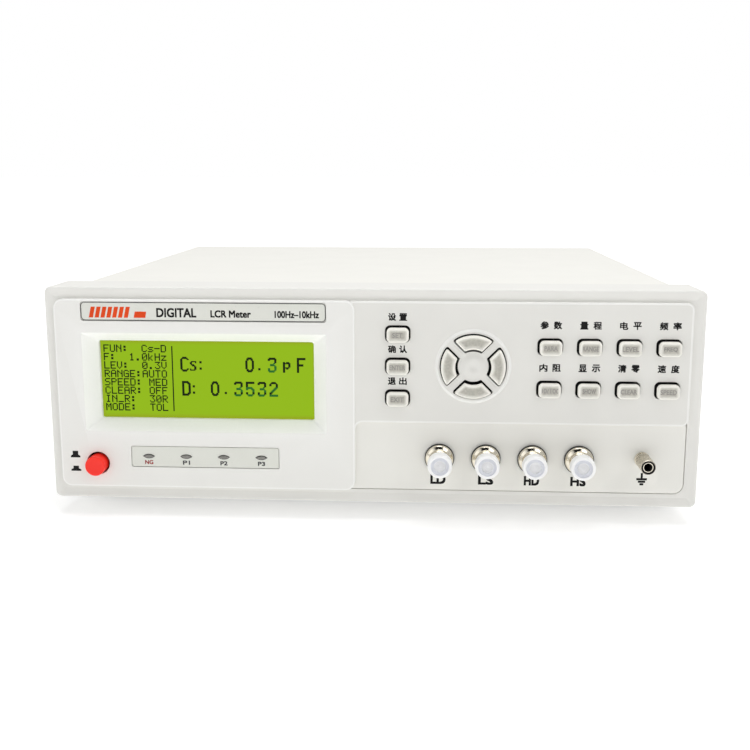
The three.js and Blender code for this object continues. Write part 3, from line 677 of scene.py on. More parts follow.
def front_bezel():
    shell = frame_shell()
    display_slab(shell)
    key_slab(shell)
    build(shell, "front_bezel_moulding", MOULDING, replaces=["front_bezel"])


def terminal_plate():
    shell = Shell()
    low, high = ends("terminal_plate")
    face, shoulder, gap = low.y, BACK + 0.3, 0.4
    outline = rounded(WINDOW["left"] + gap, WINDOW["right"] - gap, WINDOW["bottom"] + gap,
                      WINDOW["top"] - gap, WINDOW["corner"] - gap, 10)
    front, back = shell.sweep(outline, [(1, face), (0, face, 0.5), (0, shoulder), (-2.6, shoulder),
                                        (-2.6, high.y), (0, high.y)])
    holes = []
    for node, radius in [(name, 5) for name in JACKS] + [("ground_post", 3.3)]:
        place = middle(node)
        holes.append(shell.sweep(circle(place.x, place.z, radius, 40), [(0, face), (0, high.y)]))
    shell.cap(front, *near(holes))
    shell.cap(back, *far(holes))
    build(shell, "terminal_plate_moulding", TERMINAL, replaces=["terminal_plate"])


def overlays():
    def eye(name, width, height):
        return pointed(middle(name).x, middle(name).z, width, height)

    for node, corner, eyes in (("nameplate", 1.4, ()), ("indicator_strip", 0.9, LEDS)):
        plate(node + "_overlay", OVERLAY, "overlay", node, own_outline(node, corner), 0.12,
              holes=[eye(name, 5.3, 1.75) for name in eyes], hole_edge=0.1)
    for name in LEDS:
        plate(name + "_lens", LENS, "indicator_lens", name, eye(name, 5.0, 1.5), 0.3, 0.1)


# ---------------------------------------------------------------- keys and button


def power_button():
    node = "power_button"
    low, high = ends(node)
    skirt = 1.2
    turned("power_button_cap", RED, "red_button", middle(node), [
        (0.3, low.y + 0.22), (2.6, low.y + 0.16), (3.6, low.y + 0.02, 0.4), (4.8, low.y, 0.9),
        (4.8, skirt, 0.2), (0.3, skirt)], 96, node, [node])
    # The stem is black as painted shade in the gap round the button.
    turned("power_button_stem", SHADE_BLACK, "black_plastic", middle(node), [
        (0.3, skirt - 0.2), (4.4, skirt - 0.2), (4.4, 6, 0.3), (2.2, 6, 0.3), (2.2, high.y, 0.3),
        (0.3, high.y)], 48, node)


def key_pair(body, face, cap, flange):
    """A pale cap with a dished, greyer middle, on a narrower skirt whose flange is behind the panel. The
    skirt is black as painted shade, so that the gap round the cap reads dark.
    """
    low, high = ends(body)
    back, dished, seat = low.y + 0.65 * (face - low.y), low.y + 0.3, 2.9
    shell, skirt = Shell(), Shell()
    shell.solid(cap, [(2.2, dished), (1.3, dished, 0.5), (0.9, low.y + 0.1, 0.3), (0.5, low.y, 0.35),
                      (0, low.y + 0.7, 0.6), (0, back, 0.1), (0.8, back)],
                lambda inset: min(1, max(0, (inset - 0.6) / 1.4)))
    build(shell, body + "_cap", KEYCAP, body, [body], sharp=50)
    skirt.solid(cap, [(0.5, back - 0.1), (0.5, seat), (-flange, seat), (-flange, high.y), (0.5, high.y)])
    build(skirt, body + "_skirt", SHADE_BLACK, body)


def all_keys():
    for name in ALL_KEYS:
        place = middle("key_" + name)
        key_pair("key_" + name, KEYS["front"], centred(place.x + 0.1, place.z - 0.05, 10.3, 7.0, 2.1, 8), 1.6)
    for name in NAV:
        key_pair("nav_" + name, NAV_FACE, nav_cap(name), 0.8)


# ---------------------------------------------------------------- terminals

SEAT, NUT_FRONT, NUT_BACK = 0.2, 4.7, 7.2  # a terminal's flange and its nut, before and behind the plate


def jack(node):
    """A BNC jack: plated body with two bayonet lugs, white insulator and gilt contact."""
    place = middle(node)
    low, high = ends(node)
    body = Shell()
    body.turn(place.x, place.z, [
        (2.6, -4.2), (4.05, -4.2), (4.05, -11.2, 0.3), (4.25, low.y, 0.1), (4.85, low.y, 0.25),
        (4.85, -9.6, 0.2), (4.6, -9.3), (4.6, -4.8), (4.85, -4.5, 0.2), (4.85, -2.7, 0.3), (6.3, -1.8, 0.35),
        (6.7, -1.1, 0.25), (6.7, SEAT), (4.7, SEAT), (4.7, NUT_FRONT), (7.2, NUT_FRONT, 0.3),
        (7.2, NUT_BACK, 0.3), (2.4, NUT_BACK), (2.4, high.y, 0.3), (0.6, high.y, 0.2), (0.6, -4.2)],
        closed=True)
    for side in (-1, 1):
        start = len(body.points)
        body.turn(0, 0, [(0.2, 0), (1.0, 0, 0.25), (1.0, 1.4), (0.2, 1.4)], 24)
        lug = Matrix.Translation((place.x + side * 5.5, -8, place.z))
        body.move(start, lug @ Matrix.Rotation(side * math.pi / 2, 4, "Z"))
    build(body, node + "_body", CHROME, replaces=[node])
    # A black ring round the flange's rim, as a painted shadow along the flange's edge.
    turned(node + "_washer", SHADOW_RING_BLACK, "nickel", place,
           [(6.6, -0.7), (7.05, -0.7, 0.12), (7.05, SEAT, 0.1), (6.6, SEAT)], closed=True)
    turned(node + "_insulator", PTFE, "polythene", place,
           [(2.5, -4.3), (2.5, -9.2, 0.2), (1.2, -9.2, 0.1), (1.2, -4.3)], 40, closed=True)
    turned(node + "_contact", GOLD, "plated_connector", place,
           [(1.1, -4.3), (1.1, -9.0, 0.2), (0.7, -9.0, 0.1), (0.7, -4.3)], 32, closed=True)


def dust_cap(node):
    low, high = ends(node)
    tip, mouth = low.y, high.y
    floor = tip + 0.9
    # The end's shallow ring is painted bluish grey and its deep middle a little, as painted shade in those
    # recesses.
    turned(node + "_moulding", POLYTHENE, "polythene", middle(node), [
        (0.35, floor - 0.2), (0.6, floor - 0.2, 0.1), (0.8, floor, 0.1), (2.5, floor + 0.1, 0.2),
        (2.75, floor - 0.5, 0.2), (3.9, floor - 0.45, 0.2), (4.15, tip + 0.1, 0.2), (4.4, tip, 0.15),
        (5.6, tip, 0.5), (5.83, mouth, 0.2), (5.15, mouth, 0.15), (5.1, tip + 1.6, 0.3), (0.35, tip + 1.5)],
        80, node, [node], 50,
        tint=lambda radius, y: 0.0 if y > tip + 1.2 or radius > 4.3 else 1.0 if radius > 2.7 else 0.35)


def ground_terminal():
    """An earth post with a socket in its end, and on it a nut and a washer. The black lining in the socket,
    the black ring round the stud's end and the black ring in the nut's mouth are painted shade.
    """
    place = middle("ground_post")
    low, high = ends("ground_post")
    turned("ground_post_stud", CHROME, "nickel", place, [
        (0.3, -2.5), (1.9, -2.5), (1.9, low.y + 0.2), (2.0, low.y, 0.1), (2.35, low.y, 0.1),
        (2.35, low.y + 2), (2.65, low.y + 2), (2.65, -1), (3.6, -1, 0.2), (3.6, SEAT), (3, SEAT),
        (3, NUT_FRONT), (5, NUT_FRONT, 0.2), (5, NUT_BACK, 0.2), (3, NUT_BACK), (3, high.y, 0.3),
        (0.3, high.y)], 64, replaces=["ground_post"])
    # A black lining in the socket, as painted shade.
    turned("ground_post_socket_shade", SHADE_BLACK, "nickel", place, [
        (0.3, -2.6), (1.95, -2.6), (1.95, low.y + 0.9), (1.7, low.y + 0.7), (1.7, -3), (0.3, -3)], 48)
    # A black ring round the stud's end, as painted shade.
    turned("ground_post_stud_shade", SHADE_BLACK, "nickel", place, [
        (2.3, low.y + 0.5), (2.9, low.y + 0.5), (2.9, low.y + 1.8), (2.3, low.y + 1.8)], 48, closed=True)
    low, high = ends("ground_nut")
    ridges, points_each = 24, 6

    def knurl(i, y):
        """Straight ridges that die out where the ends of the nut are turned smooth."""
        inside = min(1, max(0, min(y - low.y - 0.7, high.y - 0.7 - y) / 0.3))
        return 0.45 * inside * (0.5 + 0.5 * math.cos(2 * math.pi * i / points_each)) ** 1.5

    turned("ground_nut_grip", NICKEL, "nickel", place, [
        (2.95, low.y + 0.3), (2.95, low.y + 0.1), (3.2, low.y + 0.1), (3.25, low.y, 0.1),
        (3.5, low.y + 0.4, 0.1), (3.5, low.y + 0.7), (3.5, low.y + 1.0), (3.5, high.y - 1.0),
        (3.5, high.y - 0.7), (3.5, high.y, 0.2), (2.95, high.y)],
        ridges * points_each, "ground_nut", ["ground_nut"], 60, ridge=knurl, closed=True)
    # A black ring in the nut's mouth, as painted shade.
    turned("ground_nut_mouth_shade", SHADE_BLACK, "nickel", place, [
        (2.92, low.y + 0.9), (2.92, low.y + 0.02), (3.2, low.y + 0.02), (3.2, low.y + 0.3),
        (3.0, low.y + 0.9)], 64, "ground_nut", closed=True)
    low, high = ends("ground_washer")
    turned("ground_washer_disc", NICKEL, "nickel", place, [
        (2.95, low.y), (3.4, low.y, 0.12), (3.4, high.y, 0.12), (2.95, high.y)],
        64, "ground_washer", ["ground_washer"], closed=True)


# ---------------------------------------------------------------- display

SMALL_FONT = {
    "F": "11111 10000 10000 11110 10000 10000 10000", "U": "10001 10001 10001 10001 10001 10001 01110",
    "N": "10001 11001 10101 10011 10001 10001 10001", ":": "00000 01100 01100 00000 01100 01100 00000",
    "C": "01110 10001 10000 10000 10000 10001 01110", "s": "00000 00000 01111 10000 01110 00001 11110",
    "-": "00000 00000 00000 11111 00000 00000 00000", "D": "11110 10001 10001 10001 10001 10001 11110",
    "1": "00100 01100 00100 00100 00100 00100 01110", ".": "00000 00000 00000 00000 00000 01100 01100",
    "0": "01110 10001 10011 10101 11001 10001 01110", "k": "10000 10000 10010 10100 11000 10100 10010",
    "H": "10001 10001 10001 11111 10001 10001 10001", "z": "00000 00000 11111 00010 00100 01000 11111",
    "L": "10000 10000 10000 10000 10000 10000 11111", "E": "11111 10000 10000 11110 10000 10000 11111",
    "V": "10001 10001 10001 10001 10001 01010 00100", "3": "11111 00010 00100 00010 00001 10001 01110",
    "R": "11110 10001 10001 11110 10100 10010 10001", "A": "01110 10001 10001 11111 10001 10001 10001",
    "G": "01110 10001 10000 10111 10001 10001 01111", "T": "11111 00100 00100 00100 00100 00100 00100",
    "O": "01110 10001 10001 10001 10001 10001 01110", "S": "01111 10000 10000 01110 00001 00001 11110",
    "P": "11110 10001 10001 11110 10000 10000 10000", "M": "10001 11011 10101 10101 10001 10001 10001",
    "I": "01110 00100 00100 00100 00100 00100 01110", "_": "00000 00000 00000 00000 00000 00000 11111",
    " ": "00000 00000 00000 00000 00000 00000 00000",
}
SETTINGS = ["FUN:  Cs-D", "F:  1.0kHz", "LEV:  0.3V", "RANGE:AUTO", "SPEED: MED", "CLEAR: OFF", "IN_R:  30R",
            "MODE:  TOL"]
LARGE_FONT = {
    "C": "..####.. .######. ##....## ##...... ##...... ##...... ##...... "
         "##...... ##...... ##...... ##...... ##....## .######. ..####..",
    "D": "######.. #######. ##...### ##....## ##....## ##....## ##....## "
         "##....## ##....## ##....## ##....## ##...### #######. ######..",
    "s": "...... ...... ...... ...... .##### ##...# ##.... "
         ".###.. ..###. ....## ....## #...## #####. ......",
    ":": ".. .. .. .. ## ## .. .. .. .. ## ## .. ..",
    ".": ".. .. .. .. .. .. .. .. .. .. ## ## .. ..",
    "0": "..####.. .######. .##..##. ##....## ##....## ##....## ##....## "
         "##....## ##....## ##....## ##....## .##..##. .######. ..####..",
    "3": ".######. ######## ##....## ......## ......## .....##. ..####.. "
         "..#####. ......## ......## ##....## ##....## #######. .#####..",
    "5": "######## ######## ##...... ##...... ##...... ######.. #######. "
         "##...### ......## ......## ##....## ##....## .######. ..####..",
    "2": "..####.. .######. ##....## ##....## ......## .....### ....###. "
         "...###.. ..###... .###.... ###..... ##...... ######## ########",
    "p": "........ ........ ........ ........ ##.###.. #######. ##...##. "
         "##...##. ##...##. ######.. ##.##... ##...... ##...... ##......",
    "F": "######## ######## ##...... ##...... ##...... ##...... ######.. "
         "######.. ##...... ##...... ##...... ##...... ##...... ##......",
}
READING = [  # the top row of each line, and each letter's left column
    (11, [("C", 72), ("s", 81), (":", 90), ("0", 133), (".", 145), ("3", 154), ("p", 168), ("F", 181)]),
    (34, [("D", 73), (":", 83), ("0", 100), (".", 113), ("3", 122), ("5", 133), ("3", 144), ("2", 155)])]
COLUMNS, ROWS, PITCH, DOT_SIZE = 192, 64, 0.521, 0.57
READOUT_ASIDE, READOUT_UP = -0.8, 0.2
SMALL_WIDTH, SMALL_HEIGHT, RULE = 6, 8, 64  # the cell of a small letter, and the column of the upright line


def lit_dots():
    """Yields the (column, row) of each dark dot of the readout, from the top left."""
    for line, text in enumerate(SETTINGS):
        for place, letter in enumerate(text):
            for row, bits in enumerate(SMALL_FONT[letter].split(), line * SMALL_HEIGHT):
                yield from ((place * SMALL_WIDTH + i, row) for i, bit in enumerate(bits) if bit == "1")
    for row in range(1, ROWS - 1):
        yield RULE, row
    for top, letters in READING:
        for letter, left in letters:
            for row, bits in enumerate(LARGE_FONT[letter].split(), top):
                yield from ((left + i, row) for i, bit in enumerate(bits) if bit == "#")


def fades(column, row):
    """The digits that were changing have weaker dots."""
    return column >= 122 and (39 <= row <= 43 or row >= 46) or 154 <= column <= 162 and 16 <= row < 32


def display():
    plate("lcd_glass_pane", GLASS, "lcd_glass", "lcd_glass", own_outline("lcd_glass", 0.5), 0.2)
    cells = sorted(set(lit_dots()))
    readout("lcd_dots", DOT, [cell for cell in cells if not fades(*cell)])
    readout("lcd_dots_fading", DOT_WEAK, [cell for cell in cells if fades(*cell)])


def readout(name, material, cells):
    dots = Shell()
    face, half = ends("lcd_glass")[0].y, DOT_SIZE / 2
    left = lcd.x + READOUT_ASIDE - COLUMNS * PITCH / 2
    top = lcd.z + READOUT_UP + ROWS * PITCH / 2
    for column, row in cells:
        x, z = left + (column + 0.5) * PITCH, top - (row + 0.5) * PITCH
        square = [(x + half, z + half), (x - half, z + half), (x - half, z - half), (x + half, z - half)]
        rise = 0.05 + 0.01 * ((column + row) % 2)  # neighbours overlap, so their faces are not level
        dots.caps(dots.join([dots.loop(square, face - rise), dots.loop(square, face + 0.1)]))
    build(dots, name, material)


# ---------------------------------------------------------------- lettering

INK_DEPTH = 0.03
COPY_STEP = 0.0015  # keeps the copies of a letter from being level
HEAVY_FROM = 0.12
BOLD = [(-1, -1), (1, -1), (1, 1), (-1, 1)]  # a bold letter is four copies, moved this way
HEAVY = BOLD + [(0, 0), (-1, 0), (1, 0), (0, -1), (0, 1)]


class Lettering:
    """Printed letters and marks of one colour: thin closed shapes that stand just proud of a face."""

    def __init__(self):
        self.mesh = bmesh.new()

    def word(self, text, left, right, bottom, top, face, weight=0.0, behind=False):
        """Text fitted to a rectangle, its strokes made heavier by weight to each side."""
        font = bpy.data.curves.new("word", "FONT")
        font.body = text
        font.extrude = 0.5
        font.resolution_u = 3
        holder = bpy.data.objects.new("word", font)
        mesh = bpy.data.meshes.new_from_object(holder)
        bpy.data.objects.remove(holder)
        spans = [(min(v.co[i] for v in mesh.vertices), max(v.co[i] for v in mesh.vertices)) for i in (0, 1)]
        (x0, x1), (y0, y1) = spans
        left, right, bottom, top = left + weight, right - weight, bottom + weight, top - weight
        if behind:
            left, right = right, left
        base = [Vector((left + (v.co.x - x0) / (x1 - x0) * (right - left), face - INK_DEPTH * v.co.z,
                        bottom + (v.co.y - y0) / (y1 - y0) * (top - bottom))) for v in mesh.vertices]
        copies = [(0, 0)] if not weight else HEAVY if weight > HEAVY_FROM else BOLD
        for step, (a, b) in enumerate(copies):
            shift = Vector((a * weight, step * COPY_STEP, b * weight))
            for vertex, place in zip(mesh.vertices, base):
                vertex.co = ORIGIN + (place + shift) * MM
            self.mesh.from_mesh(mesh)
        bpy.data.meshes.remove(mesh)

    def spaced(self, text, x, z, width, height, glyph, face, weight=0.0):
        """Square characters set apart across a width."""
        for i, letter in enumerate(text):
            left = x - width / 2 + i * (width - glyph) / (len(text) - 1)
            self.word(letter, left, left + glyph, z - height / 2, z + height / 2, face, weight)

    def ring(self, outline, width, face):
        """A printed line of this width, inside an outline."""
        shell = Shell()
        near, far = face - INK_DEPTH / 2, face + INK_DEPTH / 2
        loops = [shell.loop(outline(by), y) for by, y in ((0, near), (width, near), (width, far), (0, far))]
        shell.join([*loops, loops[0]])
        self.add(shell)

    def shape(self, points, face):
        """A flat shape given by its corners."""
        shell = Shell()
        shell.caps(shell.join([shell.loop(points, face + rise) for rise in (-INK_DEPTH / 2, INK_DEPTH / 2)]))
        self.add(shell)

    def add(self, shell):
        corners = [self.mesh.verts.new(ORIGIN + point * MM) for point in shell.points]
        for corner_numbers in shell.faces:
            self.mesh.faces.new([corners[i] for i in corner_numbers])

    def build(self, name, material, slot, body="root"):
        mesh = bpy.data.meshes.new(name)
        self.mesh.to_mesh(mesh)
        self.mesh.free()
        return show(mesh, name, material, body, (), 35)


WORDS = ["设置", "确认", "退出", "参数", "量程", "电平", "频率", "内阻", "显示", "清零", "速度"]
LEGENDS = ["SET", "ENTER", "EXIT", "PARA", "RANGE", "LEVEL", "FREQ", "30/100", "SHOW", "CLEAR", "SPEED"]


def panel_printing():
    """Names over the keys and under the jacks, the earth symbol and the button's two symbols."""
    face, plate_face = KEYS["front"], ends("terminal_plate")[0].y
    black = Lettering()
    for name, word in zip(ALL_KEYS, WORDS):
        place = middle("key_" + name)
        if name in SIDE_KEYS:
            black.spaced(word, place.x, place.z + 8.3, 8.9, 3.6, 3.7, face, 0.135)
        else:
            black.spaced(word, place.x + 0.15, place.z + 10.45, 9.9, 3.7, 3.8, face, 0.135)
    for node, text, aside in zip(JACKS, ["LD", "LS", "HD", "HS"], [-0.4, 0.4, 0.2, 0.2]):
        x = middle(node).x + aside
        black.word(text, x - 3.8, x + 3.5, 9.7, 14.4, plate_face, 0.28)

    def bar(x, half, low, high):
        black.shape([(x - half, high), (x - half, low), (x + half, low), (x + half, high)], plate_face)

    x = middle("ground_post").x + 0.4
    for half, low, high in ((0.5, 14.1, 16.8), (2.5, 13.25, 14.3), (1.7, 12.0, 13.05), (0.9, 10.75, 11.8)):
        bar(x, half, low, high)
    x, neck = -143.35, 1.35
    for low, step, shoulder, top, half in ((20.7, 21.5, 22.2, 24.0, 2.35), (13.9, 14.7, 15.2, 16.5, 2.45)):
        right = [(half, low), (half, step), (neck, shoulder), (neck, top)]
        outline = [(x - half, low)] + [(x + a, z) for a, z in right] + [(x - a, z) for a, z in right[:0:-1]]
        black.shape(outline, DISPLAY["front"])
    black.build("panel_printing", INK, "front_moulding")


def overlay_printing():
    face = ends("nameplate")[0].y
    black, border, mark = Lettering(), Lettering(), Lettering()
    black.word("DIGITAL", -100.9, -81.8, 89.9, 94.4, face, 0.17)
    black.word("LCR Meter", -75.1, -55.9, 90, 93.5, face, 0.15)
    black.word("100Hz–10kHz", -44.7, -23.8, 90, 93.4, face, 0.13)
    black.build("nameplate_printing", INK, "overlay")
    border.ring(own_outline("nameplate", 1.8), 0.3, face)
    border.build("nameplate_border", INK_GREY, "overlay")
    foot, top, width, lean = 89.6, 94.8, 2.0, 1.2
    for i in range(7):  # a plain row of equal slanting bars
        x = -133.4 + 2.8 * i
        mark.shape([(x, foot), (x + width, foot), (x + width + lean, top), (x + lean, top)], face)
    mark.shape([(-111.8, foot), (-106.2, foot), (-105.7, 92.6), (-111.2, 92.6)], face)
    mark.build("nameplate_mark", INK_ORANGE, "overlay")
    face = ends("indicator_strip")[0].y
    grey, red = Lettering(), Lettering()
    for name, text in zip(LEDS, ["NG", "P1", "P2", "P3"]):
        x = middle(name).x
        ink, half = (red, 2.0) if text == "NG" else (grey, 1.75)
        ink.word(text, x - half, x + half, 17.8, 19.9, face, 0.1)
        grey.ring(pointed(x, middle(name).z, 6.0, 2.3), 0.32, face)
    grey.build("indicator_printing", INK_GREY, "overlay")
    red.build("indicator_printing_ng", INK_RED, "overlay")


def key_legends():
    for name, text in zip(ALL_KEYS, LEGENDS):
        place = middle("key_" + name)
        face = ends("key_" + name)[0].y + 0.3
        half, tall = 0.45 + 0.66 * len(text), 1.15
        legend = Lettering()
        legend.word(text, place.x - half, place.x + half, place.z - tall, place.z + tall, face, 0.06)
        legend.build("legend_" + name, INK_FAINT, "keycap", "key_" + name)


# ---------------------------------------------------------------- case


def top_cover():
    """One sheet folded down both sides, with cooling slots in each side."""
    low, high = ends("top_cover")
    sheet, fold = 1.2, 2.5
    slot_places, slot_width, slot_low, slot_high = range(168, 258, 10), 3, 24, 50
    shell = Shell()

    def section(by, y):
        """The folded part, from the right side over the top to the left side."""
        r = fold - by
        points = arc(high.x - fold, high.z - fold, r, 0, 1, 6) + arc(low.x + fold, high.z - fold, r, 1, 2, 6)
        return shell.loop(points, y)

    def add(points):
        start = len(shell.points)
        shell.points += [Vector(point) for point in points]
        shell.tints += [0] * len(points)
        return list(range(start, len(shell.points)))

    front, back = ([section(by, y) for by in (0, sheet)] for y in (low.y, high.y))
    last = len(front[0]) - 1
    for a, b in ((front[0], back[0]), (front[1], back[1]), (front[0], front[1]), (back[0], back[1])):
        shell.faces += [(a[i], a[i + 1], b[i + 1], b[i]) for i in range(last)]
    for end, sign in ((0, 1), (last, -1)):
        corners, slots = [], []
        for skin, x in enumerate((sign * high.x, sign * (high.x - sheet))):
            foot = add([(x, low.y, low.z), (x, high.y, low.z)])
            corners.append([*foot, back[skin][end], front[skin][end]])
            outlines = [rounded(y, y + slot_width, slot_low, slot_high, 1.49)() for y in slot_places]
            slots.append([add([(x, a, b) for a, b in outline]) for outline in outlines])
            shell.cap(corners[-1], *slots[-1])
        for outer, inner in zip(*slots):
            shell.join([outer, inner])
        for i in (0, 1, 3):
            j = (i + 1) % 4
            shell.faces.append((corners[0][i], corners[0][j], corners[1][j], corners[1][i]))
    build(shell, "top_cover_sheet", PAINT, replaces=["top_cover"])


# ---------------------------------------------------------------- back and underside

TURNS = {"back": Matrix.Rotation(math.pi, 4, "Z"), "right": Matrix.Rotation(math.pi / 2, 4, "Z"),
         "left": Matrix.Rotation(-math.pi / 2, 4, "Z"), "under": Matrix.Rotation(math.pi / 2, 4, "X")}
INLET_FLANGE, INLET_FACE, INLET_FLOOR, DRAWER_FLOOR = 283.6, 286.6, 269, 263.7
PLATE_BACK, PLATE_FACE, TIP = 283.6, 284.6, 288  # of the D-shaped connectors
PIN_PITCH, PIN_ROW = 2.76, 1.42
UNDER = 3.0  # the underside of the tray
FOOT_LOW, FOOT_HIGH = -9, 2.7
HINGE_Y, HINGE_Z = 67, -2  # of the folding legs
inlet = middle("power_inlet")


def screw(shell, way, x, y, z, radius=2.8):
    """A pan-head screw with a cross recess, standing on a face of the case."""
    start = len(shell.points)
    height, waist = radius * 0.6, radius * 0.38
    arm, width = radius * 0.52, radius * 0.15
    cross = [(arm, -width), (arm, width), (width, width), (width, arm), (-width, arm), (-width, width),
             (-arm, width), (-arm, -width), (-width, -width), (-width, -arm), (width, -arm), (width, -width)]
    foot, rim = shell.sweep(circle(0, 0, radius, 32), [(0, 0), (0, -height, radius * 0.4), (waist, -height)])
    mouth, floor = shell.sweep(polygon(cross), [(0, -height), (width * 0.4, -height * 0.35)])
    shell.cap(rim, mouth)
    shell.caps((foot, floor))
    shell.move(start, Matrix.Translation((x, y, z)) @ TURNS[way])


def case_screws():
    painted, plated = Shell(), Shell()
    side, back = ends("top_cover")[1].x, ends("rear_panel")[1].y
    for y in (48, 150, 262):
        screw(painted, "right", side, y, 11.5)
        screw(painted, "left", -side, y, 11.5)
    for x in (-143, 143):
        for z in (10, 92):
            screw(plated, "back", x, back, z)
    for x in (-54, 42, 138):
        for y in (96, 224):
            screw(plated, "under", x, y, UNDER)
    for aside in (-20, 20):
        screw(plated, "back", inlet.x + aside, INLET_FACE, inlet.z, 2.4)
    build(painted, "cover_screws", NICKEL)
    build(plated, "panel_screws", STEEL)


def power_inlet():
    """A flanged black moulding with three blades in its pocket, over the fuse drawer's pocket."""
    shell, blades = Shell(), Shell()
    inner_end = ends("power_inlet")[0].y
    outer = shell.sweep(own_outline("power_inlet", 5), [
        (1.4, INLET_FACE), (0, INLET_FACE, 1.1), (0, INLET_FLANGE, 0.2), (0.5, INLET_FLANGE)])
    body = shell.sweep(centred(inlet.x, inlet.z, 27, 34, 1), [
        (0, INLET_FLANGE), (0, inner_end, 0.5), (1, inner_end)])
    half, rise, slant = 12.2, 8.2, 5
    x, z = inlet.x, inlet.z + 7
    mouth = soft_polygon([(x - half, z - rise), (x + half, z - rise), (x + half, z + rise - slant),
                          (x + half - slant, z + rise), (x - half + slant, z + rise),
                          (x - half, z + rise - slant)], 1.6)
    lip = INLET_FACE + 0.7
    socket = shell.sweep(mouth, [(-1.7, INLET_FACE), (-1.5, lip, 0.3), (0, lip, 0.5), (0, INLET_FLOOR)])
    pocket = shell.sweep(centred(x, middle("fuse_drawer").z, 20.6, 7.6, 0.5),
                         rimmed(INLET_FACE, DRAWER_FLOOR))
    shell.cap(outer[0], socket[0], pocket[0])
    shell.cap(outer[1], body[0])
    shell.caps(far((body, socket, pocket)))
    build(shell, "power_inlet_moulding", BLACK, replaces=["power_inlet"])
    for aside, drop in ((-7, -2), (0, 2), (7, -2)):
        blades.solid(centred(x + aside, z + drop, 2, 4, 0.3),
                     [(0.6, 281), (0.4, 281), (0, 279.6, 0.5), (0, INLET_FLOOR - 0.5)])
    build(blades, "power_inlet_blades", NICKEL)


def fuse_drawer():
    """A drawer with three grip grooves across its front."""
    node = "fuse_drawer"
    low, high = ends(node)
    x, z, seat = middle(node).x, middle(node).z, 286.9
    shell = Shell()
    face = shell.sweep(own_outline(node, 1.2), [(1, high.y), (0, high.y, 0.6), (0, seat, 0.2), (1, seat)])
    tray = shell.sweep(centred(x, z, 20, 7, 0.6), [(0, seat), (0, low.y, 0.4), (1, low.y)])
    grooves = [shell.sweep(centred(x, z + rise, 15, 0.9, 0.4), [
        (-0.15, high.y), (0, high.y, 0.1), (0.2, high.y - 0.8)]) for rise in (-2, 0, 2)]
    shell.cap(face[0], *near(grooves))
    shell.cap(face[1], tray[0])
    shell.caps(far((tray, *grooves)))
    build(shell, "fuse_drawer_moulding", BLACK, node, [node])


def connector(node, shell_width, upper):
    """A D-shaped connector: plated plate and shell, black insulator, gilt pins and two hexagonal nuts."""
    low, high = ends(node)
    x, z = middle(node).x, middle(node).z
    metal, block, pins, nuts = Shell(), Shell(), Shell(), Shell()
    half, rise, slant = shell_width / 2, 4.2, 1.2
    dee = soft_polygon([(x - half + slant, z - rise), (x + half - slant, z - rise), (x + half, z + rise),
                        (x - half, z + rise)], 1.6)
    flange = metal.sweep(own_outline(node, 2), [
        (0.4, PLATE_FACE), (0, PLATE_FACE, 0.3), (0, PLATE_BACK, 0.2), (0.4, PLATE_BACK)])
    tube = metal.sweep(dee, [
        (-0.7, PLATE_FACE), (0, PLATE_FACE, 0.5), (0, TIP, 0.25), (0.55, TIP, 0.25), (0.55, PLATE_BACK)])
    metal.cap(flange[0], tube[0])
    metal.cap(flange[1], tube[1])
    build(metal, node + "_shell", STEEL, replaces=[node])
    top = PLATE_FACE + 0.6
    block.solid(dee, [(0.9, top), (0.6, top, 0.2), (0.6, low.y, 0.3), (1.2, low.y)])
    build(block, node + "_insulator", BLACK)
    foot = PLATE_FACE + 0.4
    for count, drop in ((upper, PIN_ROW), (upper - 1, -PIN_ROW)):
        for i in range(count):
            pins.turn(x + (i - (count - 1) / 2) * PIN_PITCH, z + drop,
                      [(0.1, foot), (0.5, foot), (0.5, TIP - 0.6, 0.3), (0.1, TIP - 0.5)], 12)
    build(pins, node + "_pins", GOLD)
    end = TIP + 0.2
    for side in (-1, 1):
        at = x + side * (high.x - low.x - 6) / 2
        hexagon = polygon([(at + a, z + b) for a, b in arc(0, 0, 2.7, 0, 4, 6)[:-1]])
        nut = nuts.sweep(hexagon, [(0.5, end), (0, end - 0.3), (0, PLATE_FACE - 0.1)])
        thread = nuts.sweep(circle(at, z, 1.4, 24), [(-0.3, end), (0, end - 0.3), (0, PLATE_FACE + 0.8)])
        nuts.cap(nut[0], thread[0])
        nuts.caps((nut[1], thread[1]))
    build(nuts, node + "_nuts", NICKEL, sharp=25)


def feet():
    """Four tapered rubber feet, each with a screw in a recess. Two ears on the front ones carry the legs."""
    screws = Shell()
    for node in ("front_foot_right", "front_foot_left", "rear_foot_right", "rear_foot_left"):
        low, high = ends(node)
        x, y = (low.x + high.x) / 2, low.y + 10
        shell = Shell()
        pad = shell.sweep(centred(x, -y, 28, 20, 3.4, 8), [
            (2.4, FOOT_LOW), (1.3, FOOT_LOW, 0.9), (0, FOOT_HIGH - 3, 2), (0, FOOT_HIGH, 0.4),
            (1, FOOT_HIGH)])
        recess = shell.sweep(circle(x, -y, 4.2, 40), [
            (-0.5, FOOT_LOW), (0, FOOT_LOW, 0.4), (0, FOOT_LOW + 4)])
        shell.cap(pad[0], recess[0])
        shell.caps(far((pad, recess)))
        shell.move(0, TURNS["under"])
        screw(screws, "under", x, y, FOOT_LOW + 4.1, 3.2)
        if node.startswith("front"):
            ear, pin_hole, thick = rounded(-72, -60, -6, 2.4, 2.6), circle(-HINGE_Y, HINGE_Z, 2.3, 32), 4
            for outside in (low.x, high.x - thick):
                start = len(shell.points)
                shell.slab(ear, outside, outside + thick, 0.5, holes=[pin_hole])
                shell.move(start, TURNS["left"])
        build(shell, node + "_moulding", RUBBER, replaces=[node])
    build(screws, "foot_screws", STEEL)


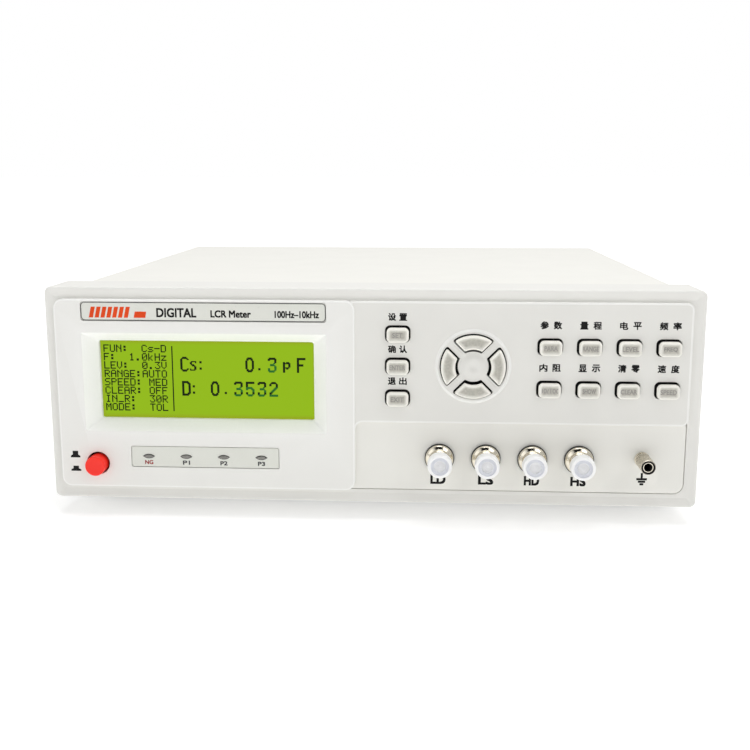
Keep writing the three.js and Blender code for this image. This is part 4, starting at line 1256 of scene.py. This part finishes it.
def tilt_leg(node):
    """A folding leg: a plate with a trough and grip ribs under it, and a hub with a pin at each end."""
    x, tip = middle(node).x, ends(node)[1].y
    bottom, top = -4.5, 0.5
    shell = Shell()
    leg = shell.sweep(rounded(x - 9.7, x + 9.7, -tip, -HINGE_Y, 3.2, 8), [
        (0.9, bottom), (0, bottom, 0.7), (0, top, 0.7), (0.9, top)], steps=5)
    trough = shell.sweep(rounded(x - 6, x + 6, -tip + 14, -HINGE_Y - 7, 1.5), [
        (-0.3, bottom), (0, bottom, 0.3), (0.4, bottom + 2.2)])
    shell.cap(leg[0], trough[0])
    shell.caps(far((leg, trough)))
    for i in range(4):
        shell.solid(centred(x, -tip + 3.4 + 2.6 * i, 14, 1.2, 0.55), [
            (0.3, bottom - 0.4), (0, bottom - 0.3, 0.2), (0, bottom + 0.5)])
    shell.move(0, TURNS["under"])
    start = len(shell.points)
    shell.turn(0, 0, [(0.2, -13.7), (2, -13.7, 0.4), (2, -9.7), (3, -9.7, 0.3), (3, 9.7, 0.3), (2, 9.7),
                      (2, 13.7, 0.4), (0.2, 13.7)], 40)
    shell.move(start, Matrix.Translation((x, HINGE_Y, HINGE_Z)) @ TURNS["right"])
    build(shell, node + "_moulding", BLACK, node, [node])


def rear_printing():
    """Plain words that name the connectors."""
    words = Lettering()
    face = ends("rear_panel")[1].y
    for node, text, drop in (("serial_connector", "RS-232", 12.5), ("handler_connector", "HANDLER", 12.5),
                             ("fuse_drawer", "FUSE", 14)):
        place = middle(node)
        half, z = 1.35 * len(text), place.z - drop
        words.word(text, place.x - half, place.x + half, z, z + 3, face, 0.12, behind=True)
    words.build("rear_printing", INK, "case_paint")


# ---------------------------------------------------------------- the parts kept from the frame

KEPT = {"lcd_frame": MOULDING, "rear_panel": PAINT, "chassis_tray": STEEL, "transformer_core": LAMINATIONS,
        "transformer_winding": WINDING, "shield_box": STEEL, "reservoir_capacitor": CAN,
        "ribbon_cable": RIBBON, "power_switch": BLACK}  # the others are circuit boards


def kept_parts():
    for name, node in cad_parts.items():
        if node.hide_render:
            continue
        node.data.materials.clear()
        node.data.materials.append(KEPT.get(name, BOARD))
        bevel = node.modifiers.new("broken edges", "BEVEL")
        bevel.width, bevel.segments, bevel.limit_method = 0.3 * MM, 2, "ANGLE"
        bevel.harden_normals = True


# ---------------------------------------------------------------- studio

DARK_WAY = (0, -0.77, 0.64)  # a dark part of the studio, for the plating to reflect
FLOOR_HALF = 40
LIGHTS = {"key": ((0.8, -0.8, 0.9), 0.6, 2.6), "fill": ((-0.8, -0.8, 0.5), 0.8, 1.5),
          "top": ((0.1, 0.08, 1.4), 1.2, 13)}  # place from the target, size, power


def studio_floor():
    """A pale floor that glows more with distance, up to white, and can't be seen from below."""
    mesh, h = bpy.data.meshes.new("floor"), FLOOR_HALF
    mesh.from_pydata([(-h, -h, 0), (h, -h, 0), (h, h, 0), (-h, h, 0)], [], [(0, 1, 2, 3)])
    nodes = Nodes("floor")
    nodes.set(Roughness=0.9, Specular_IOR_Level=0.1, Base_Color=(0.85, 0.85, 0.85, 1),
              Emission_Color=(1, 1, 1, 1))
    away = nodes.add("ShaderNodeVectorMath", operation="LENGTH")
    nodes.link(nodes.place, away.inputs[0])
    glow = nodes.spread(away.outputs["Value"], low=0.34, high=0.62, start=0.45, end=1.5)
    nodes.link(glow, nodes.shader.inputs["Emission Strength"])
    from_below = nodes.add("ShaderNodeNewGeometry").outputs["Backfacing"]
    clear = nodes.add("ShaderNodeBsdfTransparent").outputs[0]
    nodes.end_in("Material Output", from_below, nodes.shader.outputs[0], clear)
    mesh.materials.append(nodes.material)
    floor = bpy.data.objects.new("floor", mesh)
    bpy.context.scene.collection.objects.link(floor)


def surroundings():
    """Soft light from all round but for one dark part, and a white backdrop behind it all."""
    world = bpy.data.worlds.new("studio")
    world.use_nodes = True
    nodes = Tree(world.node_tree)
    aim = nodes.add("ShaderNodeVectorMath", operation="DOT_PRODUCT")
    aim.inputs[1].default_value = DARK_WAY
    nodes.link(nodes.add("ShaderNodeTexCoord").outputs["Generated"], aim.inputs[0])
    ambient = nodes.tree.nodes["Background"]
    ambient.inputs["Strength"].default_value = 0.6
    light, dark = (1, 1, 1, 1), (0.02, 0.02, 0.02, 1)
    nodes.link(nodes.ramp(aim.outputs["Value"], light, dark, 0.76, 0.9), ambient.inputs["Color"])
    backdrop = nodes.add("ShaderNodeBackground", Color=light)
    seen = nodes.add("ShaderNodeLightPath").outputs["Is Camera Ray"]
    nodes.end_in("World Output", seen, ambient.outputs[0], backdrop.outputs[0])
    bpy.context.scene.world = world


def lights_and_camera():
    scene = bpy.context.scene
    target = ORIGIN + Vector((0, 0, 0.05))
    for name, (place, size, power) in LIGHTS.items():
        light = bpy.data.lights.new(name, "AREA")
        light.size, light.energy = size, power
        lamp = bpy.data.objects.new(name, light)
        lamp.location = target + Vector(place)
        lamp.rotation_euler = (-Vector(place)).to_track_quat("-Z", "Y").to_euler()
        scene.collection.objects.link(lamp)
    scene.view_settings.view_transform = "Standard"
    lens = bpy.data.cameras.new("camera")
    lens.sensor_width = 36
    lens.lens = 44.59
    lens.shift_y = -0.0583
    lens.clip_start, lens.clip_end = 0.01, 50
    camera = bpy.data.objects.new("camera", lens)
    camera.location = ORIGIN + Vector((24.91, -428.56, 156.88)) * MM
    down, aside = 0.1683, 0.0525
    camera.rotation_euler = (math.pi / 2 - down, 0, aside)
    scene.collection.objects.link(camera)
    scene.camera = camera


studio_floor()
surroundings()
lights_and_camera()
front_bezel()
terminal_plate()
overlays()
power_button()
all_keys()
for node in JACKS:
    jack(node)
    dust_cap(node.replace("bnc", "dust_cap"))
ground_terminal()
display()
panel_printing()
overlay_printing()
key_legends()
top_cover()
case_screws()
power_inlet()
fuse_drawer()
connector("serial_connector", 16.9, 5)
connector("handler_connector", 38.9, 13)
feet()
for node in ("tilt_leg_right", "tilt_leg_left"):
    tilt_leg(node)
rear_printing()
kept_parts()
